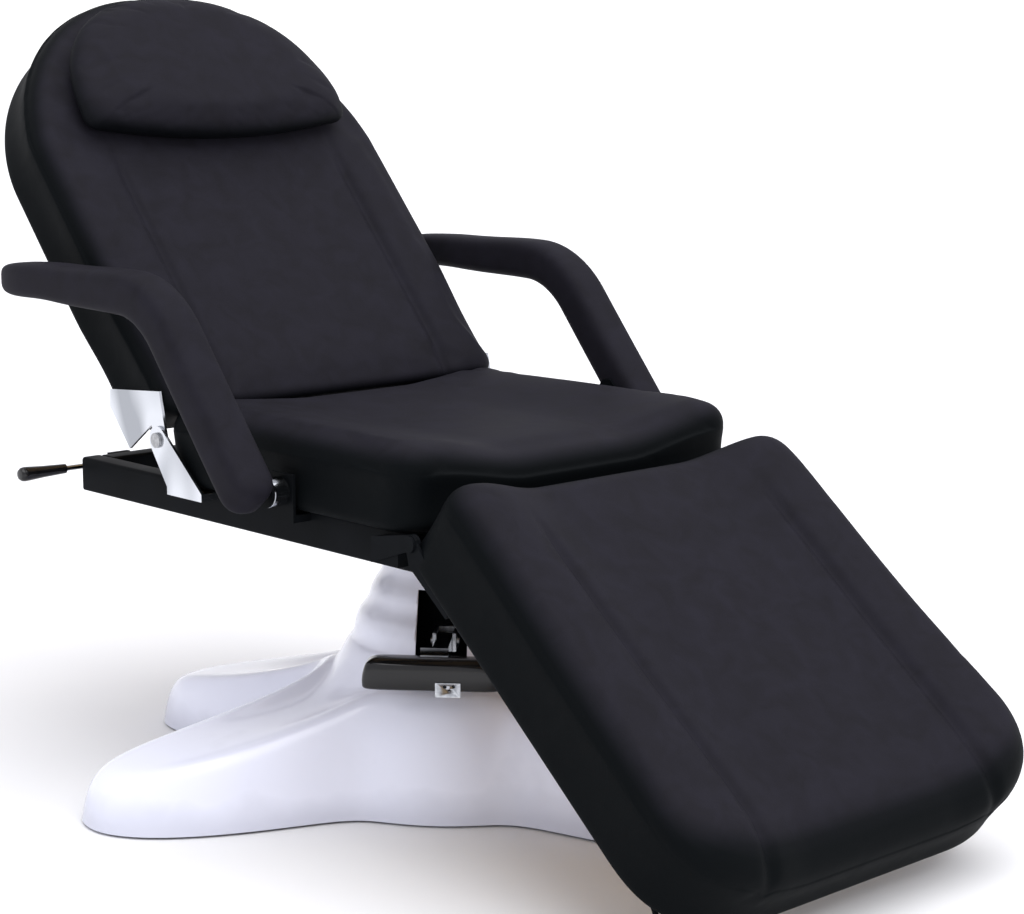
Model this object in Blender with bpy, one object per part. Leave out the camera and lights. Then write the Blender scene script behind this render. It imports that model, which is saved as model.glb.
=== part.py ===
"""Hydraulic massage table: a three-section padded top on a swivelling, foot-pumped column.

Metres, +Z up. The origin is on the floor under the column. The feet point to -Y, the head to +Y,
and the patient's right hand is at -X. The top is modelled as it stands for sitting: back raised,
leg rest lowered, column down, and the top turned on its base.
"""
from math import atan2, cos, degrees, exp, pi, radians, sin, sqrt, tan

import bmesh
import bpy
from mathutils import Vector

# Clearances between pieces
TOUCH = 0.0003
SLIP = 0.0005
PIN_CLEAR = 0.0004
CUT_SPARE = 0.010

# Top frame: rectangular steel tube
FRAME_TOP = 0.439
TUBE_TALL = 0.051
TUBE_WIDE = 0.034
TUBE_WALL = 0.0025
FRAME_HALF_WIDTH = 0.290
FRAME_REAR = 0.513
FRAME_FRONT = -0.250
SWIVEL_TUBE_Y = 0.085
STRUT_TUBE_Y = 0.256
FRONT_BAR_TALL = 0.0187

# Padded sections: half widths to the side of the cover, heights to the crest of the side rolls
PAD_OVERHANG = 0.020
PAD_HALF_WIDTH = FRAME_HALF_WIDTH + PAD_OVERHANG
BOARD_THICK = 0.015
BOARD_INSET = 0.025
ROLL_INNER_X = 0.208
ROLL_INNER_SHARE = 0.74
PANEL_DIP = 0.014
PANEL_CROWN = 0.004
GROOVE_DEPTH = 0.004
SIDE_DRAW = 0.004
EDGE_ROUND = 0.026
EDGE_SQUASH = 0.85
FOOT_ROUND = 0.010
END_ROUND = 0.022

SEAT_FRONT = -0.266
SEAT_REAR = 0.280
SEAT_TOP = 0.549
SEAT_REAR_ROUND = 0.040

BACK_ANGLE = 48.7
BACK_PIVOT_Y = 0.270
BACK_PIVOT_Z = 0.498
BACK_START = 0.022
BACK_LENGTH = 0.795
BACK_FRONT = 0.064
BACK_THICK = 0.120
BACK_BEVEL = 0.075
BACK_BEVEL_FADE = 0.350
BACK_SHOULDER = 0.460
BACK_PANEL_END = 0.340
BACK_CROWN_DROP = 0.018

LEG_ANGLE = 38.5
LEG_PIVOT_Y = -0.2774
LEG_PIVOT_Z = 0.433
LEG_OVERLAP = 0.006
LEG_LENGTH = 0.609
LEG_FRONT = 0.100
LEG_THICK = 0.120
LEG_KNEE_INSET = 0.006
LEG_KNEE_HALF_WIDTH = PAD_HALF_WIDTH - LEG_KNEE_INSET
LEG_FOOT_FLARE = 0.005
LEG_FOOT_HALF_WIDTH = PAD_HALF_WIDTH + LEG_FOOT_FLARE
LEG_TOE_HALF_WIDTH = 0.190
LEG_TOE_LENGTH = 0.105
LEG_TOE_POWER = 2.2

PILLOW_START = 0.475
PILLOW_LENGTH = 0.250
PILLOW_HALF_WIDTH = 0.245
PILLOW_THICK = 0.062
PILLOW_POWER = 2.3
PILLOW_LIP = 0.035
PILLOW_EDGE = 0.022
PILLOW_LIP_DROP = 0.42
PILLOW_TOP_DROP = 0.30

# Armrests: centre line in Y and Z, and section
ARM_CLEAR = 0.040
ARM_INNER_X = PAD_HALF_WIDTH + ARM_CLEAR
ARM_WIDE = 0.065
ARM_DEEP = 0.062
ARM_REAR_Y = 0.565
ARM_REAR_Z = 0.715
ARM_BEND_Y = 0.166
ARM_BEND_Z = 0.708
ARM_FOOT_Y = -0.045
ARM_FOOT_Z = 0.455
ARM_BEND_RADIUS = 0.065
ARM_CORNER_SHARE = 0.72
ARM_END_LONG = 0.024
ARM_PIVOT_Y = -0.020
ARM_PIVOT_Z = 0.466
ARM_HUB_RADIUS = 0.020
ARM_STUD_RADIUS = 0.008
ARM_PLATE_REACH = 0.085
ARM_PLATE_TIP_RADIUS = 0.016
ARM_BRACKET_HALF = 0.024
ARM_SHELF_LOW = 0.014
ARM_SHELF_TOP = 0.004

# Sheet-metal hinges
PLATE_THICK = 0.004
HINGE_PIN_RADIUS = 0.006
HINGE_HEAD_RADIUS = 0.011
HINGE_HEAD = 0.0035
BRACKET_FOOT_FRONT = 0.165
BRACKET_FOOT_REAR = 0.248
BRACKET_FOOT_LOW = 0.016
BRACKET_FOOT_TALL = 0.011
BRACKET_EYE = 0.020
SWING_EYE = 0.017
BACK_PLATE_TOP_Y = 0.052
BACK_PLATE_TOP_Z = 0.046
BACK_PLATE_REACH = 0.030
BACK_PLATE_CORNER = 0.018
BACK_PLATE_HANG = 0.016
BACK_PLATE_HEEL_Y = 0.034
BACK_PLATE_NECK_Y = 0.0275
BACK_PLATE_NECK_Z = -0.0025
LUG_EYE = 0.012
LUG_LONG = 0.055
LUG_GAP = 0.0025
LUG_RISE = 0.008
LUG_STEP = 0.003
LUG_SPACER_INSET = 0.004
LEG_ARM_LONG = 0.105
LEG_ARM_FOOT_START = 0.035
LEG_ARM_FOOT_WIDE = 0.055
LEG_ARM_HEEL = 0.016
LEG_ARM_TIP_TALL = 0.016

# Base, in its own axes: long legs along Y, pedal towards -X
BASE_TURN = 42.0
LEG_SPREAD = 29.0
TIP_RADIUS = 0.546
WAIST_RADIUS = 0.235
LOBE_INNER_SPREAD = 14.0
LOBE_OUTER_SPREAD = 22.0
LOBE_POWER = 2.5
SHELL_THICK = 0.005
BELL_FOOT_RADIUS = 0.167
BELL_FOOT_Z = 0.178
COLLAR_RADIUS = 0.060
COVER_TOP = 0.353
SLOT_HALF_WIDTH = 0.036
SLOT_LOW = 0.188
SLOT_HIGH = 0.300
BASE_PLATE_THICK = 0.010
BASE_BAR_HALF = 0.030
BASE_BAR_REACH = 0.455

# Pump and lift
PUMP_RADIUS = 0.055
PUMP_FOOT_RADIUS = 0.095
PUMP_FOOT_THICK = 0.012
PUMP_TOP = 0.330
RAM_RADIUS = 0.030
RAM_LOW = 0.075
BORE_SPARE = 0.015
FLANGE_RADIUS = 0.075
FLANGE_THICK = 0.010
BEARING_INNER = 0.040
BEARING_THICK = 0.005
SWIVEL_PLATE_HALF = 0.105
SWIVEL_PLATE_THICK = 0.007

# Pedal
PEDAL_PIVOT_X = -0.088
PEDAL_PIVOT_Z = 0.225
PEDAL_BAR_X = -0.240
PEDAL_BAR_Z = 0.217
PEDAL_BAR_LONG = 0.220
PEDAL_BAR_DEEP = 0.048
PEDAL_BAR_TALL = 0.047
PEDAL_BAR_TAPER = 0.024
PEDAL_BAR_CORNER = 0.008
PEDAL_BAR_EDGE = 0.015
PEDAL_ARM_WIDE = 0.022
PEDAL_ARM_TALL = 0.014
PEDAL_EYE = 0.011
CLEVIS_CHEEK = 0.005
CLEVIS_MARGIN = 0.013
PEDAL_FLANGE_HALF = 0.019
PEDAL_FLANGE_RISE = 0.006
PEDAL_BOLT_RADIUS = 0.006
PEDAL_BOLT_HEAD = 0.0035

# Gas struts: ends on the frame, and ends on the sections in the sections' own flat axes
BACK_STRUT_FRAME_Y = 0.285
BACK_STRUT_FRAME_Z = 0.415
BACK_STRUT_EYE_Y = 0.175
BACK_STRUT_EYE_Z = -0.078
BACK_STRUT_TRAVEL = 0.068
LEG_STRUT_FRAME_Y = -0.122
LEG_STRUT_FRAME_Z = 0.400
LEG_STRUT_EYE_Y = -0.140
LEG_STRUT_EYE_Z = -0.050
LEG_STRUT_TRAVEL = 0.0
STRUT_RADIUS = 0.011
STRUT_FLOOR = 0.006
STRUT_FITTING_LONG = 0.016
STRUT_FITTING_EYE = 0.010
STRUT_FITTING_HALF = 0.006
STRUT_ROD_RADIUS = 0.005
STRUT_PIN_RADIUS = 0.004
STRUT_EYE_PLAY = 0.0045
STRUT_EYE_WALL = 0.0035
STRUT_EYE_HALF = 0.006
STRUT_ROD_SPARE = 0.006
STRUT_CHEEK = 0.004
STRUT_CLEVIS_EYE = 0.008
STRUT_LUG_HALF = 0.020

# Recline lever and leg release handle
LEVER_X = -0.222
LEVER_Z = 0.422
LEVER_PIN_RADIUS = 0.004
LEVER_PAD_HALF = 0.018
LEVER_PAD_THICK = 0.008
LEVER_EYE = 0.0085
LEVER_EYE_WIDE = 0.012
LEVER_ROD_RADIUS = 0.004
LEVER_GRIP_START = -0.310
LEVER_GRIP_END = -0.390
LEVER_GRIP_THIN = 0.0065
LEVER_GRIP_THICK = 0.0095
LEVER_GRIP_TIP = 0.008
HANDLE_X = -0.270
HANDLE_INSET = 0.078
HANDLE_Y = LEG_OVERLAP - LEG_LENGTH + HANDLE_INSET
HANDLE_WIRE = 0.0035
HANDLE_HALF = 0.022
HANDLE_REACH = 0.045
HANDLE_DROP = 0.022
HANDLE_BEND_CUT = 0.3
CLIP_HALF = 0.012
CLIP_TALL = 0.011
CLIP_CLEAR = 0.0006

SIDES = (("right", -1), ("left", 1))

# Middle panel of a pad from its centre line: (share of the way to the groove, share of the crown)
PANEL_SHAPE = ((0.0, 1.0), (0.50, 0.75), (0.88, 0.0))
# Pillow section from its centre line: (share of the half width, share of the height), then round its
# edge: (share of the edge's inset, share of the height)
PILLOW_SHAPE = ((0.0, 1.0), (0.40, 0.985), (0.72, 0.93), (0.90, 0.80))
PILLOW_RIM = ((0.25, 0.62), (0.0, 0.42), (0.25, 0.18), (1.0, 0.0))
# Rounded ends of an armrest: share of the rounded length in from the end, and the size of the section there
ARM_END = ((0.0, 0.50), (0.25, 0.80), (1.0, 1.0))
# Pedal bar from its foot (-1) to its top (1): level, and the share of its edge that its side stands in there
PEDAL_BAR_LEVELS = ((-1, 0.27), (-0.75, 0.0), (-0.35, 0.13), (0.5, 0.40), (0.85, 0.67), (1, 1.0))

# Heights that stack up under the frame
FRAME_LOW = FRAME_TOP - TUBE_TALL
SWIVEL_PLATE_LOW = FRAME_LOW - TOUCH - SWIVEL_PLATE_THICK
BEARING_LOW = SWIVEL_PLATE_LOW - TOUCH - BEARING_THICK
RAM_TOP = BEARING_LOW - TOUCH - FLANGE_THICK

# Layers of the hinge plates outside the pads
BACK_PLATE_IN = PAD_HALF_WIDTH + SLIP
BRACKET_IN = BACK_PLATE_IN + PLATE_THICK + SLIP
BRACKET_OUT = BRACKET_IN + PLATE_THICK
LUG_IN = LEG_KNEE_HALF_WIDTH + LUG_GAP
LEG_ARM_IN = LUG_IN + PLATE_THICK + SLIP
LEG_ARM_OUT = LEG_ARM_IN + PLATE_THICK
BACK_LOW = BACK_FRONT - BACK_THICK
LEG_LOW = LEG_FRONT - LEG_THICK


def clear_scene():
    """Remove every object of the open file."""
    for old in list(bpy.data.objects):
        bpy.data.objects.remove(old, do_unlink=True)


def finish(name, colour, roughness, metallic):
    """A plain Principled material; colour is linear RGB."""
    material = bpy.data.materials.new(name)
    material.use_nodes = True
    shader = material.node_tree.nodes["Principled BSDF"]
    shader.inputs["Base Color"].default_value = (*colour, 1.0)
    shader.inputs["Roughness"].default_value = roughness
    shader.inputs["Metallic"].default_value = metallic
    return material


clear_scene()
LEATHER = finish("black_faux_leather", (0.020, 0.020, 0.023), 0.50, 0.0)
BLACK_STEEL = finish("black_powder_coat", (0.012, 0.014, 0.016), 0.45, 0.2)
CHROME = finish("chrome_plate", (0.70, 0.70, 0.72), 0.12, 1.0)
STEEL = finish("bare_steel", (0.45, 0.45, 0.46), 0.35, 1.0)
SHELL_WHITE = finish("white_gel_coat", (0.80, 0.81, 0.90), 0.20, 0.0)
PLYWOOD = finish("plywood", (0.45, 0.30, 0.16), 0.70, 0.0)
GLOSS_BLACK = finish("gloss_black_plastic", (0.008, 0.008, 0.009), 0.18, 0.0)
ZINC = finish("zinc_plate", (0.55, 0.56, 0.58), 0.30, 1.0)
BRONZE = finish("bearing_bronze", (0.42, 0.26, 0.10), 0.40, 1.0)


def pivot(name, place, turn=(0.0, 0.0, 0.0), parent=None):
    """An empty that carries the pieces of one body; turn is in degrees about X, Y and Z."""
    empty = bpy.data.objects.new(name, None)
    empty.location = place
    empty.rotation_euler = [radians(angle) for angle in turn]
    empty.parent = parent
    bpy.context.scene.collection.objects.link(empty)
    return empty


def add_solid(name, bm, material, parent=None, smooth=True):
    """Turn a bmesh into a named object, with its faces pointing out."""
    bmesh.ops.recalc_face_normals(bm, faces=bm.faces)
    mesh = bpy.data.meshes.new(name)
    bm.to_mesh(mesh)
    bm.free()
    mesh.materials.append(material)
    if smooth:
        mesh.shade_smooth()
        mesh.set_sharp_from_angle(angle=radians(40))
    piece = bpy.data.objects.new(name, mesh)
    piece.parent = parent
    bpy.context.scene.collection.objects.link(piece)
    return piece


def point_on(axis, depth, u, v):
    """The point at a depth along one axis, with u and v on the two other axes in order."""
    point = [u, v]
    point.insert(axis, depth)
    return point


def circle(centre, radius, count):
    """Points round a circle, in order."""
    steps = [2 * pi * i / count for i in range(count)]
    return [(centre[0] + radius * cos(t), centre[1] + radius * sin(t)) for t in steps]


def arc(centre, radius, first, last, count):
    """Points on an arc between two angles in degrees, both ends included."""
    steps = [radians(first + (last - first) * i / (count - 1)) for i in range(count)]
    return [(centre[0] + radius * cos(t), centre[1] + radius * sin(t)) for t in steps]


def rounded_rectangle(half_u, half_v, corner, count):
    """Points round a rectangle about (0, 0) with rounded corners."""
    points = []
    for su, sv, first in ((1, 1, 0), (-1, 1, 90), (-1, -1, 180), (1, -1, 270)):
        points += arc((su * (half_u - corner), sv * (half_v - corner)), corner, first, first + 90, count)
    return points


def add_box(bm, low, high):
    """Add an upright box between two corners."""
    for vert in bmesh.ops.create_cube(bm, size=1.0)["verts"]:
        vert.co = [(a + b) / 2 + c * (b - a) for a, b, c in zip(low, high, vert.co)]


def add_loft(bm, loops):
    """Bridge closed loops of equal length and cap both ends."""
    rings = [[bm.verts.new(point) for point in loop] for loop in loops]
    count = len(rings[0])
    for low, high in zip(rings, rings[1:]):
        for i in range(count):
            j = (i + 1) % count
            bm.faces.new((low[i], low[j], high[j], high[i]))
    bm.faces.new(rings[0])
    bm.faces.new(rings[-1])


def add_prism(bm, outline, axis, start, end):
    """Add a flat outline extruded along an axis."""
    add_loft(bm, [[point_on(axis, depth, u, v) for u, v in outline] for depth in (start, end)])


def add_turned(bm, profile, axis, centre, sides):
    """Add a turned solid; profile holds (radius, distance along axis), with poles at radius 0 or a bore."""
    rings = []
    for radius, along in profile:
        spots = circle(centre, radius, sides) if radius > 0 else [centre]
        rings.append([bm.verts.new(point_on(axis, along, u, v)) for u, v in spots])
    pairs = list(zip(rings, rings[1:]))
    if profile[0][0] > 0:
        pairs.append((rings[-1], rings[0]))
    for low, high in pairs:
        for i in range(sides):
            j = (i + 1) % sides
            corners = (low[i % len(low)], low[j % len(low)], high[j % len(high)], high[i % len(high)])
            bm.faces.new(list(dict.fromkeys(corners)))


def block(name, low, high, material, parent=None):
    """A plain box as its own piece."""
    bm = bmesh.new()
    add_box(bm, low, high)
    return add_solid(name, bm, material, parent, smooth=False)


def plate(name, outline, axis, start, end, material, parent=None):
    """A flat piece cut to an outline."""
    bm = bmesh.new()
    add_prism(bm, outline, axis, start, end)
    return add_solid(name, bm, material, parent)


def turned(name, profile, material, parent=None, axis=2, centre=(0.0, 0.0), sides=32):
    """A turned piece."""
    bm = bmesh.new()
    add_turned(bm, profile, axis, centre, sides)
    return add_solid(name, bm, material, parent)


def combine(piece, bm, operation):
    """Join a shape to a piece (UNION) or take it away (DIFFERENCE); the shape itself stays hidden."""
    tool = add_solid(piece.name + "_tool", bm, piece.data.materials[0], piece.parent, smooth=False)
    tool.hide_render = True
    tool.display_type = "WIRE"
    modifier = piece.modifiers.new(operation.lower(), "BOOLEAN")
    modifier.operation = operation
    modifier.solver = "EXACT"
    modifier.object = tool


def drill(piece, axis, centre, radius, start, end):
    """Take a round hole along an axis out of a piece."""
    bm = bmesh.new()
    add_prism(bm, circle(centre, radius, 16), axis, start - CUT_SPARE, end + CUT_SPARE)
    combine(piece, bm, "DIFFERENCE")


def rect_tube(name, low, high, along, material, parent):
    """A rectangular tube open at both ends."""
    piece = block(name, low, high, material, parent)
    core = bmesh.new()
    inner_low = [v - CUT_SPARE if i == along else v + TUBE_WALL for i, v in enumerate(low)]
    inner_high = [v + CUT_SPARE if i == along else v - TUBE_WALL for i, v in enumerate(high)]
    add_box(core, inner_low, inner_high)
    combine(piece, core, "DIFFERENCE")


def smooth_step(value, low, high):
    """0 below low, 1 above high, and an S curve between."""
    t = min(max((value - low) / (high - low), 0.0), 1.0)
    return t * t * (3 - 2 * t)


def quarter_round(distance, radius):
    """How far a rounded edge has fallen at a distance from the end of the piece."""
    if distance >= radius:
        return 0.0
    return radius - sqrt(max(radius * radius - (radius - distance) ** 2, 0.0))


def pad_section(half_width, height, dip):
    """One cross-section of a pad as (x, z) points: flat underside, drawn-in sides, two side rolls and
    a lower middle panel between two sewn grooves."""
    edge = min(EDGE_ROUND, 0.5 * half_width)
    flat = half_width - edge
    groove = min(ROLL_INNER_X, ROLL_INNER_SHARE * flat)
    crest = (flat + groove) / 2
    panel = height - dip
    sewn = panel - GROOVE_DEPTH * dip / PANEL_DIP
    half = [(across * groove, panel + up * PANEL_CROWN) for across, up in PANEL_SHAPE]
    half += [(groove, sewn), (0.65 * groove + 0.35 * crest, (sewn + height) / 2), (crest, height)]
    for turn in (0, 35, 65, 90):
        fall = edge * (1 - EDGE_SQUASH * cos(radians(turn)))
        half.append((flat + edge * sin(radians(turn)), height - fall))
    half += [
        (half_width - SIDE_DRAW, 0.45 * height),
        (half_width, 1.6 * FOOT_ROUND),
        (half_width - 0.3 * FOOT_ROUND, 0.3 * FOOT_ROUND),
        (half_width - FOOT_ROUND, 0.0),
    ]
    return [(-x, z) for x, z in reversed(half[1:])] + half


def padded_cover(name, stations, half_width_at, height_at, dip_at, place, parent):
    """Loft a pad through stations along its length; place(x, along, z) gives a point in its parent's axes."""
    bm = bmesh.new()
    loops = []
    for along in stations:
        section = pad_section(half_width_at(along), height_at(along), dip_at(along))
        loops.append([place(x, along, z) for x, z in section])
    add_loft(bm, loops)
    return add_solid(name, bm, LEATHER, parent)


def spread_stations(start_round, last, inner):
    """Stations along a pad: close together where its first end is rounded, then evenly spaced."""
    first = [start_round * share for share in (0.0, 0.12, 0.45, 1.0)]
    gap = (last - start_round) / (inner + 1)
    return first + [start_round + gap * (i + 1) for i in range(inner + 1)]


def set_board(cover, low, high, name, parent):
    """Put a plywood board into a recess in the underside of a cover."""
    recess = bmesh.new()
    add_box(recess, (low[0] - TOUCH, low[1] - TOUCH, low[2] - CUT_SPARE), [v + TOUCH for v in high])
    combine(cover, recess, "DIFFERENCE")
    block(name, low, high, PLYWOOD, parent)


# Bodies
base_axes = pivot("base_axes", (0, 0, 0), (0, 0, BASE_TURN))
pedal_axes = pivot("pedal_axes", (PEDAL_PIVOT_X, 0, PEDAL_PIVOT_Z), parent=base_axes)
top_axes = pivot("top_axes", (0, 0, 0))
back_axes = pivot("back_axes", (0, BACK_PIVOT_Y, BACK_PIVOT_Z), (BACK_ANGLE, 0, 0), top_axes)
leg_axes = pivot("leg_axes", (0, LEG_PIVOT_Y, LEG_PIVOT_Z), (LEG_ANGLE, 0, 0), top_axes)


# Base cover: (share of the way in from the rim to the bell, height) along a leg and at the waist
LEG_PROFILE = ((0, 0.003), (0.012, 0.028), (0.035, 0.055), (0.085, 0.075), (0.17, 0.085), (0.45, 0.105),
               (0.75, 0.122), (0.92, 0.142), (1, BELL_FOOT_Z))
WAIST_PROFILE = ((0, 0.003), (0.10, 0.050), (0.28, 0.110), (0.50, 0.152), (0.68, 0.168), (0.80, 0.173),
                 (0.90, 0.175), (0.96, 0.176), (1, BELL_FOOT_Z))
# The bell's steps as (radius, height), up to the collar round the pump
BELL_STEPS = ((0.152, 0.207), (0.142, 0.217), (0.138, 0.247), (0.121, 0.267), (0.116, 0.288), (0.100, 0.311),
              (0.096, 0.338), (0.086, COVER_TOP), (COLLAR_RADIUS, COVER_TOP))
# Angles from the long axis in one quarter, closer together round the leg
QUARTER = (0, 7, 12, 16, 20, 24.5, 29, 33.5, 38, 44, 51, 60, 70, 80)


def rim_radius(angle):
    """Plan outline: a waist with four lobes, each steeper on the side that faces the end of the base."""
    off = angle - LEG_SPREAD
    spread = LOBE_OUTER_SPREAD if off > 0 else LOBE_INNER_SPREAD
    return WAIST_RADIUS + (TIP_RADIUS - WAIST_RADIUS) * exp(-(abs(off) / spread) ** LOBE_POWER)


def base_angles():
    """Angles from the long axis all the way round, each with its distance from that axis."""
    half = [(a, a) for a in QUARTER] + [(180 - a, a) for a in (90, *reversed(QUARTER[1:]))]
    return half + [(angle + 180, off) for angle, off in half]


def cover_ring(step):
    """One closed ring of the cover, from the floor rim (step 0) to the top of the bell."""
    ring = []
    for angle, off in base_angles():
        rim = rim_radius(off)
        if step < len(LEG_PROFILE):
            share = (rim - WAIST_RADIUS) / (TIP_RADIUS - WAIST_RADIUS)
            inward, height = [w + share * (g - w) for g, w in zip(LEG_PROFILE[step], WAIST_PROFILE[step])]
            radius = rim + inward * (BELL_FOOT_RADIUS - rim)
        else:
            radius, height = BELL_STEPS[step - len(LEG_PROFILE)]
        ring.append((-radius * sin(radians(angle)), radius * cos(radians(angle)), height))
    return ring


def make_base_cover():
    """White moulded shell, open below and round the pump, with the pedal's slot."""
    bm = bmesh.new()
    steps = range(len(LEG_PROFILE) + len(BELL_STEPS))
    rings = [[bm.verts.new(point) for point in cover_ring(step)] for step in steps]
    for low, high in zip(rings, rings[1:]):
        for i in range(len(low)):
            j = (i + 1) % len(low)
            bm.faces.new((low[i], low[j], high[j], high[i]))
    cover = add_solid("base_cover", bm, SHELL_WHITE, base_axes)
    wall = cover.modifiers.new("wall", "SOLIDIFY")
    wall.thickness = SHELL_THICK
    wall.offset = -1.0
    slot = bmesh.new()
    add_box(slot, (-WAIST_RADIUS, -SLOT_HALF_WIDTH, SLOT_LOW), (-COLLAR_RADIUS, SLOT_HALF_WIDTH, SLOT_HIGH))
    combine(cover, slot, "DIFFERENCE")


def make_base_plate():
    """Cross of flat steel bars that the pump is bolted to; it stands on the floor."""
    outline = []
    legs = [LEG_SPREAD, 180 - LEG_SPREAD, 180 + LEG_SPREAD, 360 - LEG_SPREAD]
    for angle, following in zip(legs, legs[1:] + [360 + LEG_SPREAD]):
        along = Vector((-sin(radians(angle)), cos(radians(angle))))
        across = Vector((-along.y, along.x)) * BASE_BAR_HALF
        outline += [along * BASE_BAR_REACH - across, along * BASE_BAR_REACH + across]
        half_gap = radians(following - angle) / 2
        middle = radians(angle) + half_gap
        outline.append(Vector((-sin(middle), cos(middle))) * BASE_BAR_HALF / sin(half_gap))
    plate("base_plate", outline, 2, 0.0, BASE_PLATE_THICK, BLACK_STEEL, base_axes)


def make_lift():
    """Pump with its guide bore, the gland that also centres the cover, the ram and the swivel bearing."""
    foot = BASE_PLATE_THICK + TOUCH
    shoulder = foot + PUMP_FOOT_THICK
    bore = RAM_RADIUS + SLIP
    bore_low = RAM_LOW - BORE_SPARE
    body = [(0, foot), (PUMP_FOOT_RADIUS, foot), (PUMP_FOOT_RADIUS, shoulder), (PUMP_RADIUS, shoulder),
            (PUMP_RADIUS, PUMP_TOP), (bore, PUMP_TOP), (bore, bore_low), (0, bore_low)]
    turned("pump_body", body, BLACK_STEEL, base_axes)
    rim = COLLAR_RADIUS - TOUCH
    low = PUMP_TOP + TOUCH
    gland = [(bore, low), (rim, low), (rim, COVER_TOP), (bore, COVER_TOP)]
    turned("pump_gland", gland, GLOSS_BLACK, base_axes)
    head = RAM_TOP + FLANGE_THICK
    ram = [(0, RAM_LOW), (RAM_RADIUS, RAM_LOW), (RAM_RADIUS, RAM_TOP), (FLANGE_RADIUS, RAM_TOP),
           (FLANGE_RADIUS, head), (0, head)]
    turned("lift_ram", ram, CHROME)
    high = BEARING_LOW + BEARING_THICK
    ring = [(BEARING_INNER, BEARING_LOW), (FLANGE_RADIUS, BEARING_LOW), (FLANGE_RADIUS, high),
            (BEARING_INNER, high)]
    turned("swivel_bearing", ring, BRONZE)


def make_pedal():
    """Clevis with its pin on the pump, and the lever arm with a flange that the foot bar is bolted to."""
    inner = PEDAL_ARM_WIDE / 2 + SLIP
    outer = inner + CLEVIS_CHEEK
    seat = -PUMP_RADIUS - TOUCH
    web = seat - CLEVIS_CHEEK
    tip = PEDAL_PIVOT_X - CLEVIS_MARGIN
    channel = [(seat, -outer), (seat, outer), (tip, outer), (tip, inner),
               (web, inner), (web, -inner), (tip, -inner), (tip, -outer)]
    clevis_low = PEDAL_PIVOT_Z - CLEVIS_MARGIN
    clevis_top = PEDAL_PIVOT_Z + CLEVIS_MARGIN
    clevis = plate("pedal_clevis", channel, 2, clevis_low, clevis_top, ZINC, base_axes)
    pin = bmesh.new()
    pin_end = outer + HINGE_HEAD
    add_prism(pin, circle((PEDAL_PIVOT_X, PEDAL_PIVOT_Z), HINGE_PIN_RADIUS, 16), 1, -pin_end, pin_end)
    combine(clevis, pin, "UNION")

    bar_x = PEDAL_BAR_X - PEDAL_PIVOT_X
    bar_z = PEDAL_BAR_Z - PEDAL_PIVOT_Z
    bar_face = bar_x + PEDAL_BAR_DEEP / 2 + TOUCH
    arm_end = bar_face + PLATE_THICK / 2
    half_tall = PEDAL_ARM_TALL / 2
    half_wide = PEDAL_ARM_WIDE / 2
    outline = arc((0, 0), PEDAL_EYE, 60, -60, 9)
    outline += [(arm_end, bar_z - half_tall), (arm_end, bar_z + half_tall)]
    arm = plate("pedal_arm", outline, 1, -half_wide, half_wide, CHROME, pedal_axes)
    flange = bmesh.new()
    flange_top = bar_z + PEDAL_BAR_TALL / 2 + PEDAL_FLANGE_RISE
    add_box(flange, (bar_face, -PEDAL_FLANGE_HALF, bar_z - PEDAL_FLANGE_HALF),
            (bar_face + PLATE_THICK, PEDAL_FLANGE_HALF, flange_top))
    combine(arm, flange, "UNION")
    drill(arm, 1, (0, 0), HINGE_PIN_RADIUS + PIN_CLEAR, -half_wide, half_wide)
    make_pedal_bar(bar_x, bar_z)
    bolt_seat = bar_face + PLATE_THICK + TOUCH
    bolt_y = PEDAL_FLANGE_HALF - PEDAL_BOLT_RADIUS
    bolt_z = bar_z + half_tall + PEDAL_BOLT_RADIUS
    for side_name, side in SIDES:
        head = circle((side * bolt_y, bolt_z), PEDAL_BOLT_RADIUS - SLIP, 6)
        plate("pedal_bolt_" + side_name, head, 0, bolt_seat, bolt_seat + PEDAL_BOLT_HEAD, ZINC, pedal_axes)


def make_pedal_bar(bar_x, bar_z):
    """Black moulded bar, longer at its foot than on top, with its edges rounded."""
    loops = []
    for level, share in PEDAL_BAR_LEVELS:
        inset = share * PEDAL_BAR_EDGE
        half_long = PEDAL_BAR_LONG / 2 - PEDAL_BAR_TAPER * (level + 1) / 2 - inset
        outline = rounded_rectangle(PEDAL_BAR_DEEP / 2 - inset, half_long, PEDAL_BAR_CORNER, 4)
        height = bar_z + level * PEDAL_BAR_TALL / 2
        loops.append([(bar_x + x, y, height) for x, y in outline])
    bm = bmesh.new()
    add_loft(bm, loops)
    add_solid("pedal_bar", bm, GLOSS_BLACK, pedal_axes)


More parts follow.
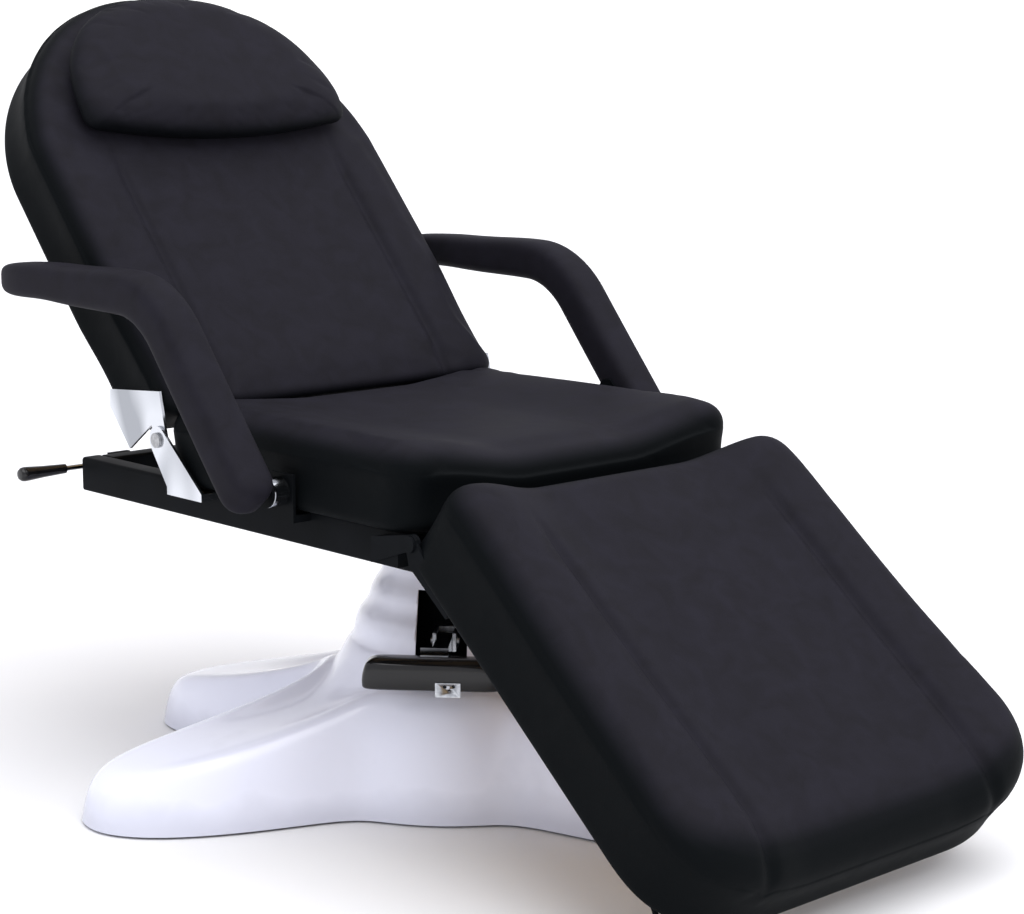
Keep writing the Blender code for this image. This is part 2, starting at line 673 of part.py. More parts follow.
def make_frame():
    """Frame of rectangular tube, and the plate that turns on the ram."""
    inner = FRAME_HALF_WIDTH - TUBE_WIDE
    for side_name, side in SIDES:
        xs = sorted((side * inner, side * FRAME_HALF_WIDTH))
        front = (xs[0], FRAME_FRONT, FRAME_LOW)
        rear = (xs[1], FRAME_REAR, FRAME_TOP)
        rect_tube("side_tube_" + side_name, front, rear, 1, BLACK_STEEL, top_axes)
    across = inner - TOUCH
    crossings = (("rear_cross_tube", FRAME_REAR - TUBE_WIDE / 2, FRAME_LOW),
                 ("strut_cross_tube", STRUT_TUBE_Y, FRAME_LOW),
                 ("swivel_tube_rear", SWIVEL_TUBE_Y, FRAME_LOW),
                 ("swivel_tube_front", -SWIVEL_TUBE_Y, FRAME_LOW),
                 ("front_cross_bar", FRAME_FRONT + TUBE_WIDE / 2, FRAME_TOP - FRONT_BAR_TALL))
    for name, middle, low in crossings:
        front = (-across, middle - TUBE_WIDE / 2, low)
        rear = (across, middle + TUBE_WIDE / 2, FRAME_TOP)
        rect_tube(name, front, rear, 0, BLACK_STEEL, top_axes)
    half = SWIVEL_PLATE_HALF
    plate_top = SWIVEL_PLATE_LOW + SWIVEL_PLATE_THICK
    block("swivel_plate", (-half, -half, SWIVEL_PLATE_LOW), (half, half, plate_top), STEEL, top_axes)


def make_seat():
    """Seat pad over its board, which is screwed down on the frame."""
    length = SEAT_REAR - SEAT_FRONT
    bottom = FRAME_TOP + TOUCH
    stations = spread_stations(END_ROUND, length - SEAT_REAR_ROUND, 7)
    stations += [length - SEAT_REAR_ROUND * share for share in (0.5, 0.15, 0.0)]

    def half_width(along):
        return PAD_HALF_WIDTH - quarter_round(along, END_ROUND) - quarter_round(length - along, END_ROUND)

    def height(along):
        fall = quarter_round(along, END_ROUND) + quarter_round(length - along, SEAT_REAR_ROUND)
        return SEAT_TOP - bottom - fall

    cover = padded_cover("seat_cushion", stations, half_width, height, lambda along: PANEL_DIP,
                         lambda x, along, z: (x, SEAT_FRONT + along, bottom + z), top_axes)
    low = (-PAD_HALF_WIDTH + BOARD_INSET, SEAT_FRONT + BOARD_INSET, bottom)
    high = (PAD_HALF_WIDTH - BOARD_INSET, SEAT_REAR - BOARD_INSET, bottom + BOARD_THICK)
    set_board(cover, low, high, "seat_board", top_axes)


def make_back():
    """Back pad and its board, flat along +Y before the section is raised."""
    head = BACK_LENGTH - BACK_SHOULDER
    stations = spread_stations(END_ROUND, BACK_SHOULDER, 6)
    stations += [BACK_SHOULDER + head * sin(radians(t)) for t in (14, 26, 37, 47, 56, 64, 71, 78, 84)]

    def head_share(along):
        return max(along - BACK_SHOULDER, 0.0) / head

    def half_width(along):
        return PAD_HALF_WIDTH * sqrt(1 - head_share(along) ** 2) - quarter_round(along, END_ROUND)

    def height(along):
        return BACK_THICK - quarter_round(along, END_ROUND) - BACK_CROWN_DROP * head_share(along) ** 6

    def dip(along):
        return PANEL_DIP * (1 - smooth_step(along, BACK_PANEL_END, BACK_SHOULDER))

    def place(x, along, z):
        slant = BACK_BEVEL * (1 - z / BACK_THICK) * (1 - smooth_step(along, 0.0, BACK_BEVEL_FADE))
        return (x, BACK_START + along + slant, BACK_LOW + z)

    cover = padded_cover("back_cushion", stations, half_width, height, dip, place, back_axes)
    low = (-PAD_HALF_WIDTH + BOARD_INSET, BACK_START + BACK_BEVEL + BOARD_INSET, BACK_LOW)
    high = (PAD_HALF_WIDTH - BOARD_INSET, BACK_START + BACK_SHOULDER, BACK_LOW + BOARD_THICK)
    set_board(cover, low, high, "back_board", back_axes)


def make_pillow():
    """D-shaped head pillow that lies on the back pad: straight lower edge, rounded top."""
    rest = BACK_FRONT + PANEL_CROWN + TOUCH
    loops = []
    for angle in (0, 4, 12, 24, 38, 52, 64, 74, 82):
        share = sin(radians(angle))
        along = PILLOW_LENGTH * share
        lip = quarter_round(along, PILLOW_LIP) / PILLOW_LIP
        half = PILLOW_HALF_WIDTH * (1 - share ** PILLOW_POWER) ** (1 / PILLOW_POWER) - PILLOW_EDGE * lip
        crown = PILLOW_THICK * (1 - PILLOW_LIP_DROP * lip) * (1 - PILLOW_TOP_DROP * share ** 3)
        outline = [(across * half, up * crown) for across, up in PILLOW_SHAPE]
        outline += [(half - inset * PILLOW_EDGE, up * crown) for inset, up in PILLOW_RIM]
        loop = [(-x, z) for x, z in reversed(outline[1:])] + outline
        loops.append([(x, BACK_START + PILLOW_START + along, rest + z) for x, z in loop])
    bm = bmesh.new()
    add_loft(bm, loops)
    add_solid("head_pillow", bm, LEATHER, back_axes)


def make_leg():
    """Leg pad and its board, flat along -Y before the section is lowered."""
    toe_start = LEG_LENGTH - LEG_TOE_LENGTH
    stations = spread_stations(END_ROUND, toe_start, 6)
    stations += [toe_start + LEG_TOE_LENGTH * sin(radians(t)) for t in (22, 42, 58, 72, 83, 90)]

    def half_width(along):
        flare = (LEG_FOOT_HALF_WIDTH - LEG_KNEE_HALF_WIDTH) * min(along / toe_start, 1.0)
        wide = LEG_KNEE_HALF_WIDTH + flare
        share = max(along - toe_start, 0.0) / LEG_TOE_LENGTH
        toe = max(1 - share ** LEG_TOE_POWER, 0.0) ** (1 / LEG_TOE_POWER)
        return LEG_TOE_HALF_WIDTH + (wide - LEG_TOE_HALF_WIDTH) * toe - quarter_round(along, END_ROUND)

    def height(along):
        return LEG_THICK - quarter_round(along, END_ROUND) - quarter_round(LEG_LENGTH - along, END_ROUND)

    cover = padded_cover("leg_cushion", stations, half_width, height, lambda along: PANEL_DIP,
                         lambda x, along, z: (x, LEG_OVERLAP - along, LEG_LOW + z), leg_axes)
    low = (-LEG_KNEE_HALF_WIDTH + BOARD_INSET, LEG_OVERLAP - toe_start, LEG_LOW)
    high = (LEG_KNEE_HALF_WIDTH - BOARD_INSET, LEG_OVERLAP - BOARD_INSET, LEG_LOW + BOARD_THICK)
    set_board(cover, low, high, "leg_board", leg_axes)


def hinge_pin(name, side, centre, start, end):
    """A pin along X from the pads outward, with a flat head on its outer end."""
    stop = end + TOUCH
    profile = [(0, start), (HINGE_PIN_RADIUS, start), (HINGE_PIN_RADIUS, stop), (HINGE_HEAD_RADIUS, stop),
               (HINGE_HEAD_RADIUS, stop + HINGE_HEAD), (0, stop + HINGE_HEAD)]
    turned(name, [(radius, side * along) for radius, along in profile], STEEL, top_axes, 0, centre, 16)


def make_back_hinges():
    """Chrome brackets on the side tubes, and the chrome side plates of the back that swing on them."""
    foot_low = FRAME_TOP - BRACKET_FOOT_LOW
    foot_top = foot_low + BRACKET_FOOT_TALL
    centre = (BACK_PIVOT_Y, BACK_PIVOT_Z)
    hole = HINGE_PIN_RADIUS + PIN_CLEAR
    band = [(BRACKET_FOOT_FRONT, foot_low), (BRACKET_FOOT_REAR, foot_low), (BRACKET_FOOT_REAR, foot_top)]
    band += arc(centre, BRACKET_EYE, -30, 140, 12) + [(BRACKET_FOOT_FRONT, foot_top)]
    bevel_end = BACK_START + BACK_BEVEL
    low = BACK_LOW - BACK_PLATE_HANG
    far = bevel_end + BACK_PLATE_REACH
    panel = [(BACK_PLATE_TOP_Y, BACK_PLATE_TOP_Z), (far, low + BACK_PLATE_CORNER),
             (far - BACK_PLATE_CORNER, low), (BACK_PLATE_HEEL_Y, low), (BACK_PLATE_NECK_Y, BACK_PLATE_NECK_Z)]
    panel += arc((0, 0), SWING_EYE, -20, -225, 12)
    for side_name, side in SIDES:
        outer = sorted((side * BRACKET_IN, side * BRACKET_OUT))
        bracket = plate("back_bracket_" + side_name, band, 0, *outer, CHROME, top_axes)
        xs = sorted((side * (FRAME_HALF_WIDTH + TOUCH), side * (BRACKET_IN + PLATE_THICK / 2)))
        foot = bmesh.new()
        add_box(foot, (xs[0], BRACKET_FOOT_FRONT + SLIP, foot_low + SLIP),
                (xs[1], BRACKET_FOOT_REAR - SLIP, foot_top))
        combine(bracket, foot, "UNION")
        drill(bracket, 0, centre, hole, *outer)
        inner = sorted((side * BACK_PLATE_IN, side * (BACK_PLATE_IN + PLATE_THICK)))
        swing = plate("back_side_plate_" + side_name, panel, 0, *inner, CHROME, back_axes)
        drill(swing, 0, (0, 0), hole, *inner)
        hinge_pin("back_hinge_pin_" + side_name, side, centre, BACK_PLATE_IN, BRACKET_OUT)


def make_leg_hinges():
    """Lugs on the front ends of the side tubes, and the angle arms of the leg rest that swing on them."""
    centre = (LEG_PIVOT_Y, LEG_PIVOT_Z)
    hole = HINGE_PIN_RADIUS + PIN_CLEAR
    root = FRAME_FRONT + LUG_LONG
    lug_low = FRAME_LOW + LUG_RISE
    lug_top = LEG_PIVOT_Z - LUG_STEP
    lug = [(root, lug_low), (root, lug_top)] + arc(centre, LUG_EYE, 60, 300, 12)
    low = LEG_LOW - TOUCH - PLATE_THICK
    arm = arc((0, 0), LUG_EYE, 130, -90, 12)
    arm += [(-LEG_ARM_HEEL, low), (-LEG_ARM_LONG, low), (-LEG_ARM_LONG, low + LEG_ARM_TIP_TALL)]
    for side_name, side in SIDES:
        inner = sorted((side * LUG_IN, side * (LUG_IN + PLATE_THICK)))
        fixed = plate("leg_lug_" + side_name, lug, 0, *inner, BLACK_STEEL, top_axes)
        xs = sorted((side * (FRAME_HALF_WIDTH + TOUCH), side * (LUG_IN + PLATE_THICK / 2)))
        spacer = bmesh.new()
        add_box(spacer, (xs[0], FRAME_FRONT + LUG_SPACER_INSET, lug_low + SLIP),
                (xs[1], root - SLIP, lug_top - SLIP))
        combine(fixed, spacer, "UNION")
        drill(fixed, 0, centre, hole, *inner)
        outer = sorted((side * LEG_ARM_IN, side * LEG_ARM_OUT))
        swing = plate("leg_arm_" + side_name, arm, 0, *outer, BLACK_STEEL, leg_axes)
        xs = sorted((side * (LEG_ARM_IN + PLATE_THICK / 2), side * (LEG_ARM_IN - LEG_ARM_FOOT_WIDE)))
        foot = bmesh.new()
        add_box(foot, (xs[0], SLIP - LEG_ARM_LONG, low), (xs[1], -LEG_ARM_FOOT_START, low + PLATE_THICK))
        combine(swing, foot, "UNION")
        drill(swing, 0, (0, 0), hole, *outer)
        hinge_pin("leg_hinge_pin_" + side_name, side, centre, LUG_IN, LEG_ARM_OUT)


def arm_centre_line():
    """Centre line of an armrest as (y, z) points with the size of the section there: rear end, level top,
    a rounded bend, then the sloping post."""
    rear = Vector((ARM_REAR_Y, ARM_REAR_Z))
    bend = Vector((ARM_BEND_Y, ARM_BEND_Z))
    foot = Vector((ARM_FOOT_Y, ARM_FOOT_Z))
    to_rear = (rear - bend).normalized()
    to_foot = (foot - bend).normalized()
    half = to_rear.angle(to_foot) / 2
    centre = bend + (to_rear + to_foot).normalized() * ARM_BEND_RADIUS / sin(half)
    reach = ARM_BEND_RADIUS / tan(half)
    first = bend + to_rear * reach - centre
    turn = 180 - degrees(2 * half)
    start = degrees(atan2(first.y, first.x))
    curve = [Vector(point) for point in arc(centre, ARM_BEND_RADIUS, start, start + turn, 6)]
    top = [rear + (curve[0] - rear) * share for share in (0.33, 0.67)]
    post = [curve[-1] + (foot - curve[-1]) * share for share in (0.33, 0.67)]
    rear_end = [(rear - to_rear * share * ARM_END_LONG, size) for share, size in ARM_END]
    foot_end = [(foot - to_foot * share * ARM_END_LONG, size) for share, size in reversed(ARM_END)]
    return rear_end + [(point, 1.0) for point in top + curve + post] + foot_end


def make_armrest(side_name, side):
    """Boomerang pad with a steel foot plate, turning on a chrome hub."""
    axes = pivot("armrest_axes_" + side_name, (0, ARM_PIVOT_Y, ARM_PIVOT_Z), parent=top_axes)
    line = arm_centre_line()
    middle = side * (ARM_INNER_X + ARM_WIDE / 2)
    corner = ARM_CORNER_SHARE * min(ARM_WIDE, ARM_DEEP) / 2
    section = rounded_rectangle(ARM_WIDE / 2, ARM_DEEP / 2, corner, 4)
    loops = []
    for index, (point, size) in enumerate(line):
        along = line[min(index + 1, len(line) - 1)][0] - line[max(index - 1, 0)][0]
        across = Vector((-along.y, along.x)).normalized() * size
        spots = [(u * size, point + across * v) for u, v in section]
        loops.append([(middle + u, spot.x - ARM_PIVOT_Y, spot.y - ARM_PIVOT_Z) for u, spot in spots])
    bm = bmesh.new()
    add_loft(bm, loops)
    add_solid("armrest_pad_" + side_name, bm, LEATHER, axes)

    plate_out = ARM_INNER_X - TOUCH
    plate_in = plate_out - PLATE_THICK
    slope = degrees(atan2(ARM_BEND_Z - ARM_FOOT_Z, ARM_BEND_Y - ARM_FOOT_Y))
    far = (ARM_PLATE_REACH * cos(radians(slope)), ARM_PLATE_REACH * sin(radians(slope)))
    outline = arc((0, 0), ARM_HUB_RADIUS, slope + 90, slope + 270, 10)
    outline += arc(far, ARM_PLATE_TIP_RADIUS, slope - 90, slope + 90, 8)
    layer = sorted((side * plate_in, side * plate_out))
    foot = plate("armrest_plate_" + side_name, outline, 0, *layer, BLACK_STEEL, axes)
    drill(foot, 0, (0, 0), ARM_STUD_RADIUS + PIN_CLEAR, *layer)
    make_arm_support(side_name, side, plate_in, plate_out)


def make_arm_support(side_name, side, plate_in, plate_out):
    """Cranked bracket from the side tube, and the chrome hub with its stud."""
    centre = (ARM_PIVOT_Y, ARM_PIVOT_Z)
    shelf_low = FRAME_TOP - ARM_SHELF_LOW
    shelf_top = FRAME_TOP - ARM_SHELF_TOP
    rise_top = ARM_PIVOT_Z + ARM_BRACKET_HALF
    tube_face = FRAME_HALF_WIDTH + TOUCH
    crank = [(tube_face, shelf_low), (BRACKET_OUT, shelf_low), (BRACKET_OUT, rise_top),
             (BRACKET_IN, rise_top), (BRACKET_IN, shelf_top), (tube_face, shelf_top)]
    support = plate("armrest_bracket_" + side_name, [(side * x, z) for x, z in crank], 1,
                    ARM_PIVOT_Y - ARM_BRACKET_HALF, ARM_PIVOT_Y + ARM_BRACKET_HALF, BLACK_STEEL, top_axes)
    rise = sorted((side * BRACKET_IN, side * BRACKET_OUT))
    drill(support, 0, centre, ARM_STUD_RADIUS + TOUCH, *rise)
    hub_in = BRACKET_OUT + TOUCH
    hub_out = plate_in - TOUCH
    stud = ARM_STUD_RADIUS
    profile = [(0, BRACKET_IN), (stud, BRACKET_IN), (stud, hub_in), (ARM_HUB_RADIUS, hub_in),
               (ARM_HUB_RADIUS, hub_out), (stud, hub_out), (stud, plate_out), (0, plate_out)]
    mirrored = [(radius, side * along) for radius, along in profile]
    turned("armrest_hub_" + side_name, mirrored, CHROME, top_axes, 0, centre, 20)


def turned_point(centre, angle, point):
    """Where a point of a section's flat axes lies once the section is turned about its pivot."""
    turn = radians(angle)
    y, z = point
    return (centre[0] + y * cos(turn) - z * sin(turn), centre[1] + y * sin(turn) + z * cos(turn))


def make_strut(name, frame_point, eye_point, travel):
    """Gas strut in the plane x = 0: cylinder with its eye on the frame, and rod with an open eye.

    travel is how far the rod can still slide in from the pose that is modelled."""
    span = Vector(eye_point) - Vector(frame_point)
    axes = pivot(name + "_axes", (0, *frame_point), (degrees(atan2(span.y, span.x)), 0, 0), top_axes)
    bore = STRUT_ROD_RADIUS + SLIP
    eye_in = STRUT_PIN_RADIUS + STRUT_EYE_PLAY
    eye_out = eye_in + STRUT_EYE_WALL
    start = STRUT_FITTING_LONG
    floor = start + STRUT_FLOOR
    end = span.length - eye_out - travel - STRUT_ROD_SPARE
    barrel = [(0, start), (STRUT_RADIUS, start), (STRUT_RADIUS, end), (bore, end), (bore, floor), (0, floor)]
    cylinder = turned(name + "_cylinder", barrel, GLOSS_BLACK, axes, 1, sides=20)
    fitting = bmesh.new()
    root = start + STRUT_FLOOR / 2
    half = STRUT_FITTING_HALF
    outline = arc((0, 0), STRUT_FITTING_EYE, 60, 300, 12) + [(root, -half), (root, half)]
    add_prism(fitting, outline, 0, -STRUT_EYE_HALF, STRUT_EYE_HALF)
    combine(cylinder, fitting, "UNION")
    drill(cylinder, 0, (0, 0), STRUT_PIN_RADIUS + PIN_CLEAR, -STRUT_EYE_HALF, STRUT_EYE_HALF)
    rod_start = floor + travel + STRUT_ROD_SPARE
    rod_end = span.length - eye_in - STRUT_EYE_WALL / 2
    shaft = [(0, rod_start), (STRUT_ROD_RADIUS, rod_start), (STRUT_ROD_RADIUS, rod_end), (0, rod_end)]
    rod = turned(name + "_rod", shaft, CHROME, axes, 1, sides=16)
    eye = bmesh.new()
    add_turned(eye, [(eye_in, -STRUT_EYE_HALF), (eye_out, -STRUT_EYE_HALF), (eye_out, STRUT_EYE_HALF),
                     (eye_in, STRUT_EYE_HALF)], 0, (span.length, 0), 20)
    combine(rod, eye, "UNION")


def make_strut_fork(name, eye_point, root_low, root_high, eye_angles, parent):
    """Two cheeks from a straight root to a rounded eye, with a pin across them for one end of a strut."""
    cheek_in = STRUT_EYE_HALF + SLIP
    cheek_out = cheek_in + STRUT_CHEEK
    outline = [root_low, root_high] + arc(eye_point, STRUT_CLEVIS_EYE, *eye_angles, 9)
    bm = bmesh.new()
    for side in (-1, 1):
        add_prism(bm, outline, 0, *sorted((side * cheek_in, side * cheek_out)))
    fork = add_solid(name, bm, ZINC, parent)
    pin = bmesh.new()
    pin_end = cheek_out + PLATE_THICK / 2
    add_prism(pin, circle(eye_point, STRUT_PIN_RADIUS, 12), 0, -pin_end, pin_end)
    combine(fork, pin, "UNION")


def make_struts():
    """Both gas struts with the forks that carry them on the frame and on the two folding sections."""
    frame_end = (BACK_STRUT_FRAME_Y, BACK_STRUT_FRAME_Z)
    section_end = (BACK_STRUT_EYE_Y, BACK_STRUT_EYE_Z)
    rest = turned_point((BACK_PIVOT_Y, BACK_PIVOT_Z), BACK_ANGLE, section_end)
    make_strut("back_strut", frame_end, rest, BACK_STRUT_TRAVEL)
    seat = STRUT_TUBE_Y + TUBE_WIDE / 2 + TOUCH
    make_strut_fork("back_strut_clevis", frame_end, (seat, BACK_STRUT_FRAME_Z + STRUT_CLEVIS_EYE),
                    (seat, BACK_STRUT_FRAME_Z - STRUT_CLEVIS_EYE), (-90, 90), top_axes)
    root = BACK_LOW - TOUCH
    make_strut_fork("back_strut_lug", section_end, (BACK_STRUT_EYE_Y - STRUT_LUG_HALF, root),
                    (BACK_STRUT_EYE_Y + STRUT_LUG_HALF, root), (0, -180), back_axes)

    frame_end = (LEG_STRUT_FRAME_Y, LEG_STRUT_FRAME_Z)
    section_end = (LEG_STRUT_EYE_Y, LEG_STRUT_EYE_Z)
    rest = turned_point((LEG_PIVOT_Y, LEG_PIVOT_Z), LEG_ANGLE, section_end)
    make_strut("leg_strut", frame_end, rest, LEG_STRUT_TRAVEL)
    seat = -SWIVEL_TUBE_Y - TUBE_WIDE / 2 - TOUCH
    make_strut_fork("leg_strut_clevis", frame_end, (seat, LEG_STRUT_FRAME_Z - STRUT_CLEVIS_EYE),
                    (seat, LEG_STRUT_FRAME_Z + STRUT_CLEVIS_EYE), (90, 270), top_axes)
    root = LEG_LOW - TOUCH
    make_strut_fork("leg_strut_lug", section_end, (LEG_STRUT_EYE_Y - STRUT_LUG_HALF, root),
                    (LEG_STRUT_EYE_Y + STRUT_LUG_HALF, root), (0, -180), leg_axes)


def make_lever():
    """Recline lever behind the rear tube: pad with a pin, rod with its eye, and a tapered grip."""
    face = FRAME_REAR + TOUCH
    pad_rear = face + LEVER_PAD_THICK
    eye_front = pad_rear + TOUCH
    eye_rear = eye_front + LEVER_EYE_WIDE
    middle = (eye_front + eye_rear) / 2
    pad = block("lever_bracket", (LEVER_X - LEVER_PAD_HALF, face, LEVER_Z - LEVER_PAD_HALF),
                (LEVER_X + LEVER_PAD_HALF, pad_rear, FRAME_TOP), BLACK_STEEL, top_axes)
    pin = bmesh.new()
    pin_front = pad_rear - LEVER_PAD_THICK / 2
    add_prism(pin, circle((LEVER_X, LEVER_Z), LEVER_PIN_RADIUS, 12), 1, pin_front, eye_rear + SLIP)
    combine(pad, pin, "UNION")

    axes = pivot("lever_axes", (LEVER_X, middle, LEVER_Z), parent=top_axes)
    bore = LEVER_PIN_RADIUS + PIN_CLEAR
    half = LEVER_EYE_WIDE / 2
    ring = [(bore, -half), (LEVER_EYE, -half), (LEVER_EYE, half), (bore, half)]
    rod = turned("lever_rod", ring, CHROME, axes, 1, sides=20)
    shank = bmesh.new()
    joint = (bore + LEVER_EYE) / 2
    add_prism(shank, circle((0, 0), LEVER_ROD_RADIUS, 12), 0, LEVER_GRIP_START - LEVER_X, -joint)
    combine(rod, shank, "UNION")
    near = LEVER_GRIP_START - TOUCH - LEVER_X
    far = LEVER_GRIP_END - LEVER_X
    grip = [(0, near), (LEVER_GRIP_THIN, near), (LEVER_GRIP_THICK, far + LEVER_GRIP_TIP),
            (LEVER_GRIP_THIN, far), (0, far)]
    turned("lever_grip", grip, GLOSS_BLACK, axes, 0, sides=20)


def make_release_handle():
    """Bent wire handle under the foot of the leg pad, swinging in a clip."""
    pivot_z = LEG_LOW - TOUCH - CLIP_TALL / 2
    centre = (HANDLE_Y, pivot_z)
    clip = block("handle_clip", (HANDLE_X - CLIP_HALF, HANDLE_Y - CLIP_HALF, LEG_LOW - TOUCH - CLIP_TALL),
                 (HANDLE_X + CLIP_HALF, HANDLE_Y + CLIP_HALF, LEG_LOW - TOUCH), BLACK_STEEL, leg_axes)
    drill(clip, 0, centre, HANDLE_WIRE + CLIP_CLEAR, HANDLE_X - CLIP_HALF, HANDLE_X + CLIP_HALF)
    axes = pivot("handle_axes", (HANDLE_X, *centre), parent=leg_axes)
    bend = 2 * HANDLE_WIRE
    far = (-HANDLE_REACH, -HANDLE_DROP)
    cut = HANDLE_BEND_CUT * bend
    along = Vector((0, *far)).normalized()
    route = [Vector((HANDLE_HALF - bend, 0, 0)), Vector((bend - HANDLE_HALF, 0, 0)),
             Vector((cut - HANDLE_HALF, 0, 0)) + cut * along, Vector((-HANDLE_HALF, 0, 0)) + bend * along,
             Vector((-HANDLE_HALF, *far)) - bend * along, Vector((cut - HANDLE_HALF, *far)) - cut * along,
             Vector((bend - HANDLE_HALF, *far)), Vector((HANDLE_HALF, *far))]
    curve = bpy.data.curves.new("leg_release_handle", "CURVE")
    curve.dimensions = "3D"
    curve.bevel_depth = HANDLE_WIRE
    curve.bevel_resolution = 2
    curve.use_fill_caps = True
    curve.materials.append(BLACK_STEEL)
    spline = curve.splines.new("POLY")
    spline.points.add(len(route) - 1)
    for point, spot in zip(spline.points, route):
        point.co = (*spot, 1.0)
    handle = bpy.data.objects.new("leg_release_handle", curve)
    handle.parent = axes
    bpy.context.scene.collection.objects.link(handle)


make_base_cover()
make_base_plate()
make_lift()
make_pedal()
make_frame()
make_seat()
make_back()
make_pillow()
make_leg()
make_back_hinges()
make_leg_hinges()
for arm_side in SIDES:
    make_armrest(*arm_side)
make_struts()
make_lever()
make_release_handle()
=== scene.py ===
"""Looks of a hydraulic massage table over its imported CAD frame, in metres and in the CAD's own axes:
the floor at z = 0, the column at x = y = 0, the head towards +Y and the patient's right hand at -X."""

import bmesh
import bpy
import numpy as np
from mathutils import Matrix, Vector


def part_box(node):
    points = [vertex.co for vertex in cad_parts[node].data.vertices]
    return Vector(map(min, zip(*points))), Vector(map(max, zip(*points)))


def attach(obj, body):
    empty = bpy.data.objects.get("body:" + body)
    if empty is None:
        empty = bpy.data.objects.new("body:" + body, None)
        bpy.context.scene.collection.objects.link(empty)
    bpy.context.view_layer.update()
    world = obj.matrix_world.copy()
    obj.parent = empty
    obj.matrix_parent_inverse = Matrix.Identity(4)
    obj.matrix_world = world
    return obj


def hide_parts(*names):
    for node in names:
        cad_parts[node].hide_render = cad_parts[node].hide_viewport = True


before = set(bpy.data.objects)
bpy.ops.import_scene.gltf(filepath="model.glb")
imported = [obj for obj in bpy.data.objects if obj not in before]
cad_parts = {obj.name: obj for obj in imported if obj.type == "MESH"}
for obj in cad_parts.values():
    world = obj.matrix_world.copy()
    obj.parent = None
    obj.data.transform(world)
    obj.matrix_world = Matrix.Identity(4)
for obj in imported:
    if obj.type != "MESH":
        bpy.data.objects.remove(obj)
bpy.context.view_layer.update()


# Base cover: a shell moulded in glass-reinforced plastic with a white gel coat, four splayed legs round a
# stepped bell. It is dropped over the steel cross and centred on the pump; a slot lets the pedal's arm out.
BASE_TURN = np.radians(42.0)
LEG_TIP, WAIST, BELL_FOOT = 0.546, 0.235, 0.167
LEG_SPREAD, LOBE_INNER, LOBE_OUTER = 29.0, 14.0, 22.0


def linear(code):
    """Linear RGBA of an sRGB hex colour: a straight part near black, then the 2.4 power."""
    value = np.array([int(code[i:i + 2], 16) for i in (1, 3, 5)]) / 255
    return (*np.where(value <= 0.04045, value / 12.92, ((value + 0.055) / 1.055) ** 2.4), 1.0)


def add(tree, kind, links, **settings):
    """Add one shader node: links gives its inputs as sockets or plain values, settings its own properties."""
    made = tree.nodes.new(kind)
    for key, value in settings.items():
        setattr(made, key, value)
    for key, value in links.items():
        if isinstance(value, bpy.types.NodeSocket):
            tree.links.new(value, made.inputs[key])
        else:
            made.inputs[key].default_value = value
    return made


def finish(name, metallic=0.0, ior=1.5, **sockets):
    """A material with a Principled shader; returns it with its tree, shader and object coordinates."""
    material = bpy.data.materials.new(name)
    material.use_nodes = True
    tree = material.node_tree
    shader = tree.nodes["Principled BSDF"]
    shader.inputs["Metallic"].default_value = metallic
    shader.inputs["IOR"].default_value = ior
    for key, value in sockets.items():
        shader.inputs[key.replace("_", " ")].default_value = value
    place = add(tree, "ShaderNodeTexCoord", {}).outputs["Object"]
    return material, tree, shader, place


def gel_coat():
    """White gel coat, polished in its mould: glossy, very slightly wavy over about 11 cm, and greyer in the
    lowest 6 cm, where feet and mops reach it."""
    material, tree, shader, place = finish("white_gel_coat", Coat_Weight=0.25, Coat_Roughness=0.06)
    cloud = add(tree, "ShaderNodeTexNoise", {"Vector": place, "Scale": 9.0, "Detail": 3.0})
    height = add(tree, "ShaderNodeSeparateXYZ", {"Vector": place}).outputs["Z"]
    soil = add(tree, "ShaderNodeMapRange", {"Value": height, "From Min": 0.0, "From Max": 0.06})
    grain = add(tree, "ShaderNodeMath", {0: cloud.outputs["Fac"], 1: soil.outputs["Result"]},
                operation="MULTIPLY")
    tint = add(tree, "ShaderNodeValToRGB", {"Fac": grain.outputs["Value"]})
    for stop, code, position in zip(tint.color_ramp.elements, ("#cfd1df", "#e6e8f6"), (0.10, 0.45)):
        stop.color, stop.position = linear(code), position
    gloss = add(tree, "ShaderNodeMapRange", {"Value": cloud.outputs["Fac"], "To Min": 0.16, "To Max": 0.28})
    wave = add(tree, "ShaderNodeBump", {"Height": cloud.outputs["Fac"], "Strength": 0.05, "Distance": 0.004})
    tree.links.new(tint.outputs["Color"], shader.inputs["Base Color"])
    tree.links.new(gloss.outputs["Result"], shader.inputs["Roughness"])
    tree.links.new(wave.outputs["Normal"], shader.inputs["Normal"])
    return material


def grid_faces(rows, columns, wrap_rows=False, wrap_columns=False):
    """Quads of a grid of points numbered row by row; a wrapped direction joins its last line to its first."""
    row = np.arange(rows if wrap_rows else rows - 1)[:, None]
    column = np.arange(columns if wrap_columns else columns - 1)[None, :]
    next_row = (row + 1) % rows
    next_column = (column + 1) % columns
    corners = [(row, column), (row, next_column), (next_row, next_column), (next_row, column)]
    return np.stack([r * columns + c for r, c in corners], -1).reshape(-1, 4)


def build(name, points, faces, material, sharp=40.0):
    """Put points and quads into a mesh, merge its poles, turn its faces outwards and shade it smooth."""
    mesh = bpy.data.meshes.new(name)
    mesh.from_pydata(np.asarray(points).reshape(-1, 3), [], faces)
    bm = bmesh.new()
    bm.from_mesh(mesh)
    bmesh.ops.remove_doubles(bm, verts=bm.verts, dist=1e-6)
    bmesh.ops.recalc_face_normals(bm, faces=bm.faces)
    bm.to_mesh(mesh)
    bm.free()
    mesh.materials.append(material)
    mesh.shade_smooth()
    mesh.set_sharp_from_angle(angle=np.radians(sharp))
    made = bpy.data.objects.new(name, mesh)
    bpy.context.scene.collection.objects.link(made)
    return made


